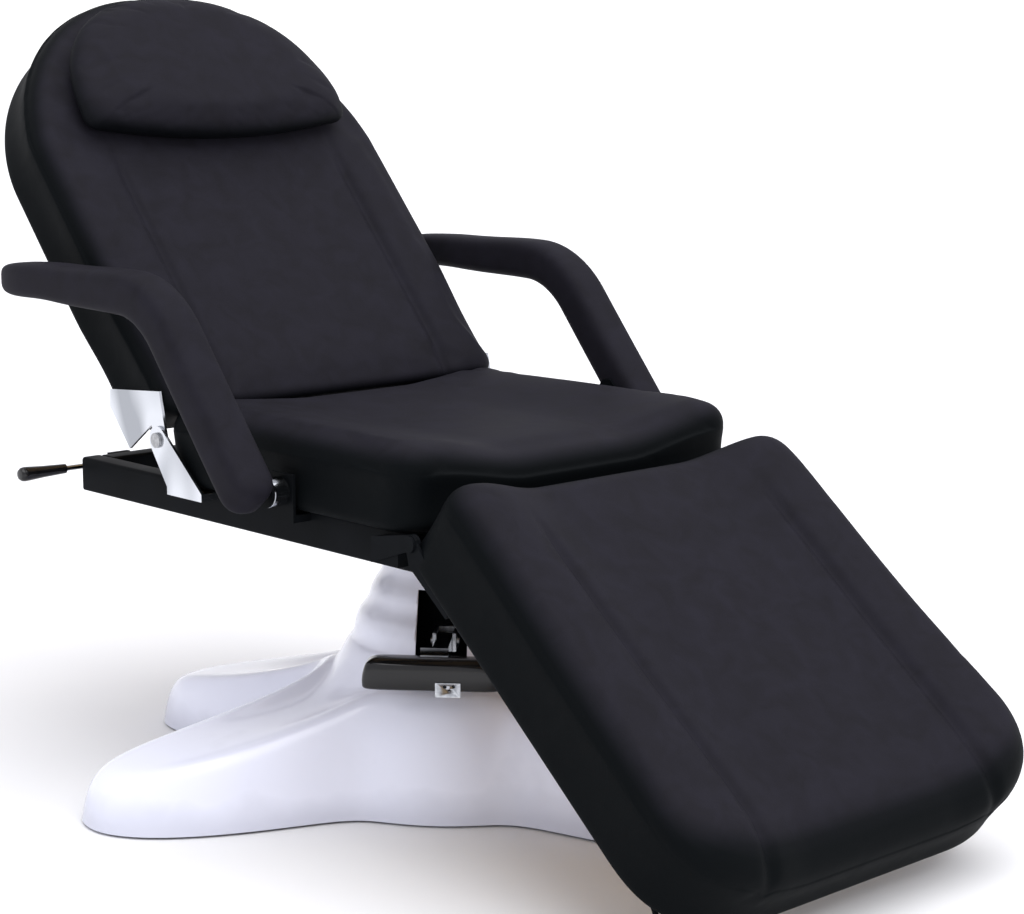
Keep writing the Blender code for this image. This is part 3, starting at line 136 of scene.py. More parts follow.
def hang(made, body, slot, *nodes):
    """Let a piece ride on a body in place of CAD nodes. The slot is not used."""
    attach(made, body)
    if nodes:
        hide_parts(*nodes)
    return made


def chaikin(rows, rounds):
    """Round a run of rows by cutting each corner at a quarter and three quarters of its sides; ends stay."""
    for _ in range(rounds):
        near = 0.75 * rows[:-1] + 0.25 * rows[1:]
        far = 0.25 * rows[:-1] + 0.75 * rows[1:]
        rows = np.concatenate([rows[:1], np.stack([near, far], 1).reshape(-1, *rows.shape[1:]), rows[-1:]])
    return rows


def base_shell():
    """Rings round the column. From the floor to the bell a ring lies a share of the way in from the rim,
    whose radius is the waist plus four bell-curve lobes; heights go from a waist line to a leg line."""
    leg = np.array([(0, 0.003), (0.012, 0.028), (0.035, 0.055), (0.085, 0.075), (0.17, 0.085), (0.45, 0.105),
                    (0.75, 0.122), (0.92, 0.142), (1, 0.178)])
    waist = np.array([(0, 0.003), (0.10, 0.050), (0.28, 0.110), (0.50, 0.152), (0.68, 0.168), (0.80, 0.173),
                      (0.90, 0.175), (0.96, 0.176), (1, 0.178)])
    bell = np.array([(0.152, 0.207), (0.142, 0.217), (0.138, 0.247), (0.121, 0.267), (0.116, 0.288),
                     (0.100, 0.311), (0.096, 0.338), (0.086, 0.353), (0.060, 0.353)])
    turn = np.arange(0.0, 360.0, 1.5)
    off = np.abs((turn + 90) % 180 - 90) - LEG_SPREAD
    lobe = np.exp(-(np.abs(off) / np.where(off > 0, LOBE_OUTER, LOBE_INNER)) ** 2.5)
    rim = WAIST + (LEG_TIP - WAIST) * lobe
    line = waist[:, None] + lobe[None, :, None] * (leg - waist)[:, None]
    skirt = np.stack([rim + line[..., 0] * (BELL_FOOT - rim), line[..., 1]], -1)
    outer = chaikin(np.concatenate([skirt, np.broadcast_to(bell[:, None], (len(bell), len(turn), 2))]), 3)
    wall, neck, lift = 0.0045, 0.0603, 0.003
    inner = np.maximum(outer[::-4] - wall, (neck, lift))
    ring = np.concatenate([outer, inner])
    angle = np.radians(turn) + BASE_TURN
    x = -ring[..., 0] * np.sin(angle)
    y = ring[..., 0] * np.cos(angle)
    return np.stack([x, y, ring[..., 1]], -1)


def on_base(points):
    """Turn points about the column from the base's own axes, with the pedal towards -X, to the bed's axes."""
    x, y, z = np.moveaxis(np.asarray(points, float), -1, 0)
    cosine, sine = np.cos(BASE_TURN), np.sin(BASE_TURN)
    return np.stack([x * cosine - y * sine, x * sine + y * cosine, z], -1)


def box_on_base(name, low, high, material):
    """An upright box in the base's own axes."""
    share = np.array([[x, y, z] for x in (0, 1) for y in (0, 1) for z in (0, 1)])
    sides = np.array([(0, 1, 3, 2), (4, 6, 7, 5), (0, 4, 5, 1), (2, 3, 7, 6), (0, 2, 6, 4), (1, 5, 7, 3)])
    return build(name, on_base(np.array(low) + share * (np.array(high) - np.array(low))), sides, material)


def cut(made, tool):
    """Take one piece out of another and drop the tool."""
    opening = made.modifiers.new("opening", "BOOLEAN")
    opening.solver = "EXACT"
    opening.object = tool
    bpy.context.view_layer.update()
    made.data = bpy.data.meshes.new_from_object(made.evaluated_get(bpy.context.evaluated_depsgraph_get()))
    made.modifiers.clear()
    bpy.data.objects.remove(tool)


shell = base_shell()
white = gel_coat()
cover = build("base_shell", shell, grid_faces(*shell.shape[:2], True, True), white)
cut(cover, box_on_base("pedal_slot", (-0.235, -0.036, 0.188), (-0.060, 0.036, 0.300), white))
hang(cover, "base", "white_shell", "base_cover")


# Steel under the cover: the flat-bar cross, the pump, the frame's plates and lugs. All of it is mild steel
# in black powder coat, which bakes to a satin skin with a fine orange peel.
def powder_coat():
    """Black powder coat on steel: satin, with an orange peel about 1.5 mm across and a little dust in
    drifts about 7 cm across."""
    material, tree, shader, place = finish("black_powder_coat", Specular_IOR_Level=0.03)
    peel = add(tree, "ShaderNodeTexNoise", {"Vector": place, "Scale": 650.0, "Detail": 2.0})
    dust = add(tree, "ShaderNodeTexNoise", {"Vector": place, "Scale": 14.0, "Detail": 5.0})
    tint = add(tree, "ShaderNodeValToRGB", {"Fac": dust.outputs["Fac"]})
    for stop, code, position in zip(tint.color_ramp.elements, ("#0c0e10", "#131518"), (0.35, 0.75)):
        stop.color, stop.position = linear(code), position
    gloss = add(tree, "ShaderNodeMapRange", {"Value": dust.outputs["Fac"], "To Min": 0.42, "To Max": 0.60})
    bump = add(tree, "ShaderNodeBump", {"Height": peel.outputs["Fac"], "Strength": 0.15, "Distance": 0.0004})
    tree.links.new(tint.outputs["Color"], shader.inputs["Base Color"])
    tree.links.new(gloss.outputs["Result"], shader.inputs["Roughness"])
    tree.links.new(bump.outputs["Normal"], shader.inputs["Normal"])
    return material


def paint(material, *nodes):
    """Give CAD nodes a material in place of the one they were packed with."""
    for name in nodes:
        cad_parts[name].data.materials.clear()
        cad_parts[name].data.materials.append(material)


powder_black = powder_coat()
paint(powder_black, "base_plate", "pump_body", "leg_lug_right", "leg_lug_left", "leg_arm_right",
      "leg_arm_left", "armrest_bracket_right", "armrest_bracket_left", "armrest_plate_right",
      "armrest_plate_left", "lever_bracket", "handle_clip")


# Column: a chrome-plated steel ram with a turned head, a bronze thrust ring that lies on it, and the moulded
# black gland it slides in. The top turns on the ring with the steel plate that is welded under its frame.
def chrome_plate():
    """Bright chrome over steel: mirror-like, its roughness clouded by polishing in patches about 6 cm across
    and twice as tall, its colour lighter and darker over the same patches as painted reflection, with hair
    scratches drawn about 1 mm apart so that they show."""
    material, tree, shader, place = finish("bright_chrome", metallic=1.0)
    scratch = add(tree, "ShaderNodeTexNoise", {"Vector": place, "Scale": 900.0, "Detail": 1.0,
                                               "Distortion": 2.0})
    drawn = add(tree, "ShaderNodeMapping", {"Vector": place, "Scale": (1.0, 1.0, 0.5)}).outputs["Vector"]
    haze_and_painted_reflection = add(tree, "ShaderNodeTexNoise", {"Vector": drawn, "Scale": 18.0, "Detail": 0.0})
    # Painted reflection: the colour ramp over these patches stands in for the plate's light and dark
    # reflections; the roughness follows them as real polishing haze.
    tint = add(tree, "ShaderNodeValToRGB", {"Fac": haze_and_painted_reflection.outputs["Fac"]})
    for stop, code, position in zip(tint.color_ramp.elements, ("#a0a3a8", "#d6d9de"), (0.34, 0.62)):
        stop.color, stop.position = linear(code), position
    tree.links.new(tint.outputs["Color"], shader.inputs["Base Color"])
    gloss = add(tree, "ShaderNodeMapRange", {"Value": haze_and_painted_reflection.outputs["Fac"], "To Min": 0.06, "To Max": 0.20})
    bump = add(tree, "ShaderNodeBump", {"Height": scratch.outputs["Fac"], "Strength": 0.03,
                                        "Distance": 0.0002})
    tree.links.new(gloss.outputs["Result"], shader.inputs["Roughness"])
    tree.links.new(bump.outputs["Normal"], shader.inputs["Normal"])
    return material


def metal(name, dark, light, low, high):
    """Bare or plated metal: two tones in fine blotches about 6 mm across, and roughness that follows them."""
    material, tree, shader, place = finish(name, metallic=1.0)
    blotch = add(tree, "ShaderNodeTexNoise", {"Vector": place, "Scale": 160.0, "Detail": 6.0})
    tint = add(tree, "ShaderNodeValToRGB", {"Fac": blotch.outputs["Fac"]})
    for stop, code, position in zip(tint.color_ramp.elements, (dark, light), (0.30, 0.70)):
        stop.color, stop.position = linear(code), position
    gloss = add(tree, "ShaderNodeMapRange", {"Value": blotch.outputs["Fac"], "To Min": low, "To Max": high})
    tree.links.new(tint.outputs["Color"], shader.inputs["Base Color"])
    tree.links.new(gloss.outputs["Result"], shader.inputs["Roughness"])
    return material


def gloss_abs():
    """Black ABS from a polished mould: glossy, with faint flow marks about 22 mm long."""
    material, tree, shader, place = finish("gloss_black_abs", Specular_IOR_Level=0.32, Coat_Weight=0.2,
                                           Coat_Roughness=0.08)
    flow = add(tree, "ShaderNodeTexNoise", {"Vector": place, "Scale": 45.0, "Detail": 3.0, "Distortion": 0.6})
    tint = add(tree, "ShaderNodeValToRGB", {"Fac": flow.outputs["Fac"]})
    tint.color_ramp.elements[0].color = linear("#0b0b0c")
    tint.color_ramp.elements[1].color = linear("#18181a")
    gloss = add(tree, "ShaderNodeMapRange", {"Value": flow.outputs["Fac"], "To Min": 0.14, "To Max": 0.26})
    bump = add(tree, "ShaderNodeBump", {"Height": flow.outputs["Fac"], "Strength": 0.04, "Distance": 0.001})
    tree.links.new(tint.outputs["Color"], shader.inputs["Base Color"])
    tree.links.new(gloss.outputs["Result"], shader.inputs["Roughness"])
    tree.links.new(bump.outputs["Normal"], shader.inputs["Normal"])
    return material


def turned(name, profile, material, axis=2, centre=(0.0, 0.0), around=64):
    """A profile of (radius, distance along the axis) carried round the axis in equal steps."""
    profile = np.array(profile, float)
    angle = 2 * np.pi * np.arange(around) / around
    u = centre[0] + profile[:, :1] * np.cos(angle)
    v = centre[1] + profile[:, :1] * np.sin(angle)
    along = np.broadcast_to(profile[:, 1:], u.shape)
    points = np.stack(np.insert([u, v], axis, along, axis=0), -1)
    closed = bool(profile[0, 0] > 0)
    return build(name, points, grid_faces(*u.shape, closed, True), material, 32.0)


chrome = chrome_plate()
bare_steel = metal("ground_steel", "#8d8e90", "#b9babc", 0.28, 0.42)
zinc = metal("zinc_plate", "#9a9da2", "#cfd2d6", 0.24, 0.40)
bronze = metal("bearing_bronze", "#8a6a3c", "#b58f55", 0.30, 0.45)
black_abs = gloss_abs()
ram_low, ram_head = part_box("lift_ram")
ram = turned("column_ram", [(0, ram_low.z), (0.0285, ram_low.z), (0.030, ram_low.z + 0.0015),
                            (0.030, ram_head.z - 0.012), (0.032, ram_head.z - 0.010),
                            (0.0735, ram_head.z - 0.010), (0.075, ram_head.z - 0.0085),
                            (0.075, ram_head.z - 0.001), (0.074, ram_head.z), (0, ram_head.z)], chrome)
hang(ram, "lift", "chrome", "lift_ram")
paint(bronze, "swivel_bearing")
paint(black_abs, "pump_gland")
paint(bare_steel, "swivel_plate")


# Foot pedal: a chrome arm on a zinc-plated clevis, bolted to a bar that is moulded in gloss black plastic,
# longer at its foot than on top, with rounded ends and a pierced zinc tab on its front.
def pedal_bar():
    """Rounded rectangles stacked from the foot of the bar to its top; each is a superellipse whose two half
    lengths shrink with height by a taper and by a quarter-round edge at the foot and at the top."""
    half_wide, half_long, half_tall, middle, reach = 0.024, 0.097, 0.0215, 0.219, 0.240
    foot_round, crown_round, taper, power, around = 0.005, 0.014, 0.004, 6, 120
    level = np.concatenate([np.linspace(-1, -0.78, 7), np.linspace(-0.6, 0.55, 6), np.linspace(0.66, 1, 9)])
    level = level[:, None]
    foot = foot_round * (1 - np.sqrt(np.clip(1 - ((-0.78 - level) / 0.22).clip(0) ** 2, 0, 1)))
    crown = crown_round * (1 - np.sqrt(np.clip(1 - ((level - 0.55) / 0.45).clip(0) ** 2, 0, 1)))
    inset = foot + crown + taper * level ** 2
    angle = 2 * np.pi * np.arange(around)[None, :] / around
    swell = (np.abs(np.cos(angle)) ** power + np.abs(np.sin(angle)) ** power) ** (-1 / power)
    x = (half_wide - inset) * swell * np.cos(angle)
    y = (half_long - taper * (level + 1) - inset) * swell * np.sin(angle)
    z = middle + half_tall * level + 0 * angle
    lid = np.stack([np.stack([0 * x[i], 0 * y[i], z[i]], -1) for i in (0, -1)])
    body = np.concatenate([lid[:1], np.stack([x, y, z], -1), lid[1:]])
    return on_base(body + (-reach, 0, 0))


bar = pedal_bar()
foot_bar = build("pedal_foot_bar", bar, grid_faces(*bar.shape[:2], False, True), black_abs)
hang(foot_bar, "pedal", "gloss_black", "pedal_bar")
tab = box_on_base("pedal_tab", (-0.2650, -0.041, 0.1920), (-0.2625, -0.007, 0.2115), zinc)
for hole_y, hole_z in ((-0.0315, 0.2070), (-0.0200, 0.2065), (-0.0265, 0.2005)):
    hole = turned("tab_hole", [(0, -0.267), (0.0024, -0.267), (0.0024, -0.261), (0, -0.261)], zinc, 0,
                  (hole_y, hole_z), 20)
    hole.data.transform(Matrix.Rotation(BASE_TURN, 4, "Z"))
    cut(tab, hole)
hang(tab, "pedal", "zinc")
paint(chrome, "pedal_arm")
paint(zinc, "pedal_clevis", "pedal_bolt_right", "pedal_bolt_left")


# Frame: rectangular steel tube, 51 by 34 mm with rolled corners, cut square, welded, and powder coated
# black. Each tube takes its place and size from its CAD node.
def rolled_tube(name, axis):
    """A rounded rectangle carried along one axis, outside and back inside, so that the tube is open."""
    low, high = (np.array(point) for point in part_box(name))
    across = [i for i in range(3) if i != axis]
    middle = (low + high)[across] / 2
    half = (high - low)[across] / 2
    angle = np.radians(np.concatenate([np.linspace(q, q + 90, 6) for q in (0, 90, 180, 270)]))
    sign = np.repeat([(1, 1), (-1, 1), (-1, -1), (1, -1)], 6, axis=0)
    rows = []
    start, end = low[axis], high[axis]
    lip, wall, corner = 0.0005, 0.0025, 0.005
    for along, inset in ((start, lip), (start + lip, 0), (end - lip, 0), (end, lip), (end, wall),
                         (start, wall)):
        radius = corner - inset
        ring = middle + sign * (half - inset - radius) + radius * np.stack([np.cos(angle), np.sin(angle)], -1)
        rows.append(np.insert(ring, axis, along, axis=1))
    points = np.stack(rows)
    tube = build(name + "_rolled", points, grid_faces(*points.shape[:2], True, True), powder_black, 30.0)
    hang(tube, "top", "black_steel", name)


for tube_name, tube_axis in (("side_tube_right", 1), ("side_tube_left", 1), ("rear_cross_tube", 0),
                             ("strut_cross_tube", 0), ("swivel_tube_rear", 0), ("swivel_tube_front", 0),
                             ("front_cross_bar", 0)):
    rolled_tube(tube_name, tube_axis)


# Boards: birch plywood, one under each pad and let into the underside of its foam. The cover is stapled
# round it, and it lies on the frame or on the plates and arms of the hinges.
def birch_ply():
    """Birch plywood: pale veneer with grain lines about 4 mm apart along Y and soft growth bands about 45 mm
    apart."""
    material, tree, shader, place = finish("birch_plywood")
    drawn = add(tree, "ShaderNodeMapping", {"Vector": place, "Scale": (1.0, 0.08, 1.0)}).outputs["Vector"]
    grain = add(tree, "ShaderNodeTexNoise", {"Vector": drawn, "Scale": 240.0, "Detail": 6.0})
    band = add(tree, "ShaderNodeTexNoise", {"Vector": drawn, "Scale": 22.0, "Detail": 3.0})
    mix = add(tree, "ShaderNodeMath", {0: grain.outputs["Fac"], 1: band.outputs["Fac"]}, operation="MULTIPLY")
    tint = add(tree, "ShaderNodeValToRGB", {"Fac": mix.outputs["Value"]})
    for stop, code, position in zip(tint.color_ramp.elements, ("#a98656", "#d9bd8f"), (0.15, 0.40)):
        stop.color, stop.position = linear(code), position
    bump = add(tree, "ShaderNodeBump", {"Height": grain.outputs["Fac"], "Strength": 0.2, "Distance": 0.0004})
    shader.inputs["Roughness"].default_value = 0.68
    tree.links.new(tint.outputs["Color"], shader.inputs["Base Color"])
    tree.links.new(bump.outputs["Normal"], shader.inputs["Normal"])
    return material


paint(birch_ply(), "seat_board", "back_board", "leg_board")


# Pads: cut foam on a board under a cover of black faux leather, with a side roll sewn down along each long
# edge. The cover is pulled tight over the edge, drawn in a little at the sides and tucked under the board.
def faux_leather():
    """Black faux leather, PVC on a knit: satin, with an embossed grain of pebbles about 1.5 mm across, drawn
    at 2.5 mm so that it shows, pores 1 mm apart and faint creases about 4 cm apart; where the band attribute
    is set, the colour is darkened towards near black as painted shade of the sides."""
    material, tree, shader, place = finish("black_faux_leather", Specular_IOR_Level=0.045)
    pebble = add(tree, "ShaderNodeTexVoronoi", {"Vector": place, "Scale": 400.0}, feature="SMOOTH_F1")
    pore = add(tree, "ShaderNodeTexNoise", {"Vector": place, "Scale": 900.0, "Detail": 2.0})
    crease = add(tree, "ShaderNodeTexNoise", {"Vector": place, "Scale": 26.0, "Detail": 4.0,
                                              "Distortion": 0.8})
    tint = add(tree, "ShaderNodeValToRGB", {"Fac": crease.outputs["Fac"]})
    for stop, code, position in zip(tint.color_ramp.elements, ("#1d1c21", "#222128"), (0.30, 0.70)):
        stop.color, stop.position = linear(code), position
    # Painted shade: the band attribute mixes the leather's colour towards #080b0d on the pads' roll-overs,
    # sides and undersides and on the pillow's sides and lip.
    band = add(tree, "ShaderNodeAttribute", {}, attribute_name="band").outputs["Fac"]
    painted_shade = add(tree, "ShaderNodeMix", {0: band, 6: tint.outputs["Color"], 7: linear("#080b0d")},
               data_type="RGBA")
    gloss = add(tree, "ShaderNodeMapRange", {"Value": crease.outputs["Fac"], "To Min": 0.56, "To Max": 0.70})
    height = add(tree, "ShaderNodeMath", {0: pebble.outputs["Distance"], 1: pore.outputs["Fac"]},
                 operation="ADD")
    fine = add(tree, "ShaderNodeBump", {"Height": height.outputs["Value"], "Strength": 0.20,
                                        "Distance": 0.0005})
    soft = add(tree, "ShaderNodeBump", {"Height": crease.outputs["Fac"], "Strength": 0.10, "Distance": 0.004,
                                        "Normal": fine.outputs["Normal"]})
    tree.links.new(painted_shade.outputs[2], shader.inputs["Base Color"])
    tree.links.new(gloss.outputs["Result"], shader.inputs["Roughness"])
    tree.links.new(soft.outputs["Normal"], shader.inputs["Normal"])
    return material


def smooth_step(value, low, high):
    """0 below low, 1 above high, and an S curve between."""
    t = np.clip((value - low) / (high - low), 0, 1)
    return t * t * (3 - 2 * t)


def even(line, count):
    """Points at equal steps of length along a line."""
    length = np.concatenate([[0], np.cumsum(np.linalg.norm(np.diff(line, axis=0), axis=1))])
    step = np.linspace(0, length[-1], count)
    return np.stack([np.interp(step, length, line[:, i]) for i in (0, 1)], -1)


def four_runs(right, first, last, across, along):
    """Split the right half of an outline, from its near middle to its far middle, at two corner points, and
    mirror it: near run and far run from left to right, left run and right run from near to far."""
    i = np.argmin(np.linalg.norm(right - np.array(first), axis=1))
    j = np.argmin(np.linalg.norm(right - np.array(last), axis=1))
    flip = np.array([-1.0, 1.0])
    near = even(np.concatenate([(right[:i + 1] * flip)[::-1], right[1:i + 1]]), across)
    far = even(np.concatenate([right[j:] * flip, right[j:][::-1][1:]]), across)
    side = even(right[i:j + 1], along)
    return near, side, far, side * flip


def fill(near, right, far, left):
    """Panel between four runs: the linear blends across it both ways, less the blend of its corners."""
    a = np.linspace(0, 1, len(near))[None, :, None]
    b = np.linspace(0, 1, len(left))[:, None, None]
    ends = (1 - b) * near[None] + b * far[None]
    sides = (1 - a) * left[:, None] + a * right[:, None]
    corners = (1 - b) * ((1 - a) * near[0] + a * near[-1]) + b * ((1 - a) * far[0] + a * far[-1])
    return ends + sides - corners


def upholstered(runs, top, edge, drop, draw, flare, board):
    """Closed pad in its own axes (across, along, up): a top panel at height top(across, along); an edge
    that rolls over on a quarter ellipse as wide as edge and as deep as drop, each given for its sides, its
    near end and its far end; a sewn line below it; a side drawn in by a half sine and by flare down to its
    foot; a rounded foot; an underside; and a recess for its board (near, far, half, deep). Returned with it:
    how firmly each point is held while it is filled, and how much painted shade darkens it: rising over the
    roll-over and full on the side, the foot and the underside."""
    panel = fill(*runs)
    count_b, count_a = panel.shape[:2]
    index = np.arange(count_a * count_b).reshape(count_b, count_a)
    loop = np.concatenate([index[0], index[1:, -1], index[-1, -2::-1], index[-2:0:-1, 0]])
    rim = panel.reshape(-1, 2)[loop]
    step = np.roll(rim, -1, 0) - np.roll(rim, 1, 0)
    step = np.roll(step, 1, 0) + 2 * step + np.roll(step, -1, 0)
    out = np.stack([step[:, 1], -step[:, 0]], -1) / np.linalg.norm(step, axis=1)[:, None]
    ends = np.stack([np.ones(len(out)), np.clip(-out[:, 1], 0, 1) ** 2, np.clip(out[:, 1], 0, 1) ** 2])
    ends[0] -= ends[1] + ends[2]
    wide = (np.array(edge) @ ends)[:, None]
    drop = np.array(drop) @ ends
    height = top(rim[:, 0], rim[:, 1])
    foot, seam, lip = 0.010, 0.007, 0.0005
    rings, painted_shade = [], []
    for turn in np.radians((15, 30, 45, 60, 75, 90)):
        rings.append((rim + out * wide * np.sin(turn), height - drop * (1 - np.cos(turn))))
        # Painted shade: the roll-over darkens with its turn, sooner at the far end, towards the full painted
        # shade of the side.
        painted_shade.append(smooth_step(turn, 0.2 - 0.1 * ends[2], 1.4 - 0.75 * ends[2]))
    roll_end = len(rings)
    brow = height - drop
    for fall, tuck in ((0.003, 0.0002), (0.005, 0.0009), (seam, 0.0002)):
        rings.append((rim + out * (wide - tuck), brow - fall))
    seam_end = len(rings)
    brow = brow - seam
    for share in np.linspace(0, 1, 8)[1:]:
        inset = draw * np.sin(np.pi * share) + flare * share
        rings.append((rim + out * (wide - inset), brow + share * (foot - brow)))
    side_end = len(rings) - 1
    for turn in np.radians((30, 60, 90)):
        inset = flare + foot * (1 - np.cos(turn))
        rings.append((rim + out * (wide - inset), foot * (1 - np.sin(turn)) + 0 * height))
    near, far, half, deep = board
    a = np.linspace(-half, half, count_a)
    b = np.linspace(near, far, count_b)
    recess = np.stack(np.broadcast_arrays(a[None, :], b[:, None]), -1)
    mouth = recess.reshape(-1, 2)[loop]
    for share in (0.35, 0.7, 1.0):
        rings.append((rings[-1][0] + share * (mouth - rings[-1][0]), 0 * height))
    rings.append((mouth, 0 * height + deep - lip))
    layers = [np.column_stack([panel.reshape(-1, 2), top(panel[..., 0], panel[..., 1]).ravel()])]
    layers += [np.column_stack([spot, level]) for spot, level in rings]
    layers.append(np.column_stack([recess.reshape(-1, 2), np.full(count_a * count_b, deep)]))
    points = np.concatenate(layers)
    size = len(loop)
    start = count_a * count_b
    roof = start + size * len(rings)
    belt = np.concatenate([loop[None], np.arange(start, roof).reshape(-1, size), roof + loop[None]])
    following = np.roll(belt, -1, 1)
    quads = np.stack([belt[:-1], belt[1:], following[1:], following[:-1]], -1).reshape(-1, 4)
    lid = grid_faces(count_b, count_a)
    faces = np.concatenate([lid, quads, lid[:, ::-1] + roof])
    held = np.zeros(len(points))
    held[start + side_end * size:] = 1.0
    held[start + seam_end * size:start + side_end * size] = 0.5
    held[start + (seam_end - 2) * size:start + (seam_end - 1) * size] = 0.7
    # Painted shade: none on the top panel, rising over the roll-over, full from the sewn line down and
    # underneath.
    band = np.ones(len(points))
    band[:start] = 0
    band[start:start + roll_end * size] = np.concatenate(painted_shade)
    return points, faces, held, band


def roll_top(across, height, dip, inner, crest, crease):
    """Height over a pad's width: a middle lower by dip, rising on an S curve from the inner line to the crest
    of the side roll, less a soft sewn crease about 12 mm wide along the roll."""
    crease_line, crease_wide = 0.208, 0.0075
    wide = np.abs(across)
    sewn = crease * np.exp(-((wide - crease_line) / crease_wide) ** 2)
    return height - dip * (1 - smooth_step(wide, inner, crest)) - sewn


def blown(cover, held, cap):
    """Fill the cover like a cushion with 20 frames of cloth under pressure, its underside and sewn lines
    held, and keep each point within cap of where it was cut."""
    frames = 20
    mesh = cover.data
    before = np.empty(len(mesh.vertices) * 3)
    mesh.vertices.foreach_get("co", before)
    group = cover.vertex_groups.new(name="held")
    for weight in np.unique(held[held > 0]):
        group.add(np.flatnonzero(held == weight).tolist(), float(weight), "REPLACE")
    cloth = cover.modifiers.new("filling", "CLOTH")
    cloth.settings.quality = 4
    cloth.settings.mass = 0.4
    cloth.settings.tension_stiffness = 25
    cloth.settings.compression_stiffness = 25
    cloth.settings.shear_stiffness = 10
    cloth.settings.bending_stiffness = 2.0
    cloth.settings.use_pressure = True
    cloth.settings.uniform_pressure_force = 4
    cloth.settings.vertex_group_mass = "held"
    cloth.settings.effector_weights.gravity = 0
    cloth.point_cache.frame_end = frames
    for number in range(1, frames + 1):
        bpy.context.scene.frame_set(number)
    filled = cover.evaluated_get(bpy.context.evaluated_depsgraph_get()).data
    after = np.empty_like(before)
    filled.vertices.foreach_get("co", after)
    move = (after - before).reshape(-1, 3)
    size = np.linalg.norm(move, axis=1, keepdims=True)
    mesh.vertices.foreach_set("co", before + (move * np.minimum(1, cap / np.maximum(size, 1e-9))).ravel())
    cover.modifiers.remove(cloth)
    cover.vertex_groups.clear()
    bpy.context.scene.frame_set(1)
    mesh.update()


def pad(name, points, faces, held, band, place, body, node, cap):
    """Finish a pad: set it in its place, fill it, subdivide it once and hang it for its CAD solid."""
    mesh = bpy.data.meshes.new(name)
    mesh.from_pydata(place(*points.T), [], faces)
    mesh.materials.append(leather)
    mesh.shade_smooth()
    # The band attribute carries the painted shade of the pad's sides into the leather.
    mesh.attributes.new("band", "FLOAT", "POINT").data.foreach_set("value", band)
    made = bpy.data.objects.new(name, mesh)
    bpy.context.scene.collection.objects.link(made)
    blown(made, held, cap)
    round_off = made.modifiers.new("cover", "SUBSURF")
    round_off.levels = 1
    round_off.render_levels = 1
    hang(made, body, "leather", node)
    return made


def corner_arc(centre, radius, first, last):
    """Points of a rounded corner between two angles in degrees."""
    angle = np.radians(np.linspace(first, last, 9))
    return np.stack([centre[0] + radius * np.cos(angle), centre[1] + radius * np.sin(angle)], -1)


leather = faux_leather()

# Seat pad: foam in the leather cover on its own board, lying fixed on the frame between the armrests. Its
# middle dips between the side rolls, most of all at the front edge.
SEAT_LONG, SEAT_FRONT, SEAT_LOW, SEAT_TALL = 0.546, -0.266, 0.4393, 0.1097


def seat_outline():
    """Right half of the panel's outline: straight sides with rounded corners."""
    half, near, far, corner = 0.280, 0.030, SEAT_LONG - 0.040, 0.012
    return np.concatenate([[(0, near)], corner_arc((half - corner, near + corner), corner, -90, 0),
                           corner_arc((half - corner, far - corner), corner, 0, 90), [(0, far)]])


def seat_top(across, along):
    """A saddle: rolls as high as the solid, the middle 24 mm lower, less so at the back."""
    dip = 0.024 - 0.017 * smooth_step(along, 0.25, 0.48)
    return roll_top(across, SEAT_TALL - 0.002, dip, 0.09, 0.270, 0.0)


seat = upholstered(four_runs(seat_outline(), (0.2765, 0.0335), (0.2765, 0.5025), 96, 62), seat_top,
                   edge=(0.030, 0.030, 0.040), drop=(0.028, 0.028, 0.028), draw=0.004, flare=0.0,
                   board=(0.025, SEAT_LONG - 0.025, 0.285, 0.0153))
pad("seat_pad", *seat, lambda x, along, up: np.column_stack([x, SEAT_FRONT + along, SEAT_LOW + up]), "top",
    "seat_cushion", 0.006)

# Back pad: foam, cover and board as on the seat, carried by the two chrome side plates that hinge it. It has
# a straight foot, bevelled behind so that it clears the frame, and a half-round head.
BACK_PIVOT, BACK_TILT = np.array([0.270, 0.498]), np.radians(48.7)
BACK_LONG, BACK_SHOULDER, BACK_THICK, BACK_LOW, BACK_START = 0.795, 0.460, 0.120, -0.056, 0.022


def tilted(pivot, angle, x, y, z):
    """Turn a section's flat axes about its pivot by an angle about +X."""
    return np.column_stack([x, pivot[0] + y * np.cos(angle) - z * np.sin(angle),
                            pivot[1] + y * np.sin(angle) + z * np.cos(angle)])


def back_outline():
    """Right half of the panel's outline: rounded foot corners, a side that widens 7 mm, then a head that is
    half a superellipse, a little more pointed than an ellipse."""
    half, near, corner, power, rise_of_head = 0.285, 0.002, 0.010, 1.80, 0.298
    rise = np.linspace(0.05, 0.98, 16) * BACK_SHOULDER
    side = np.stack([half + 0.007 * smooth_step(rise, 0.08, 0.22), rise], -1)
    angle = np.radians(np.linspace(0, 90, 60))
    head = np.stack([side[-1, 0] * np.cos(angle) ** (2 / power),
                     BACK_SHOULDER + rise_of_head * np.sin(angle) ** (2 / power)], -1)
    foot = corner_arc((half - corner, near + corner), corner, -90, 0)
    return np.concatenate([[(0, near)], foot, side, head])


def back_top(across, along):
    """Rolls and a lower panel that fade out under the pillow, with the head falling off a little."""
    fade = 1 - smooth_step(along, 0.36, 0.50)
    head = np.clip((along - BACK_SHOULDER) / (BACK_LONG - BACK_SHOULDER), 0, 1)
    height = BACK_THICK - 0.002 - 0.018 * head ** 6
    return roll_top(across, height, 0.012 * fade, 0.13, 0.265, 0.0090 * fade)


def back_place(x, along, up):
    """Slide the underside up the back by the bevel, which fades along it, then tilt the section."""
    slant = 0.045 * (1 - up / BACK_THICK) * (1 - smooth_step(along, 0.0, 0.35))
    return tilted(BACK_PIVOT, BACK_TILT, x, BACK_START + along + slant, BACK_LOW + up)


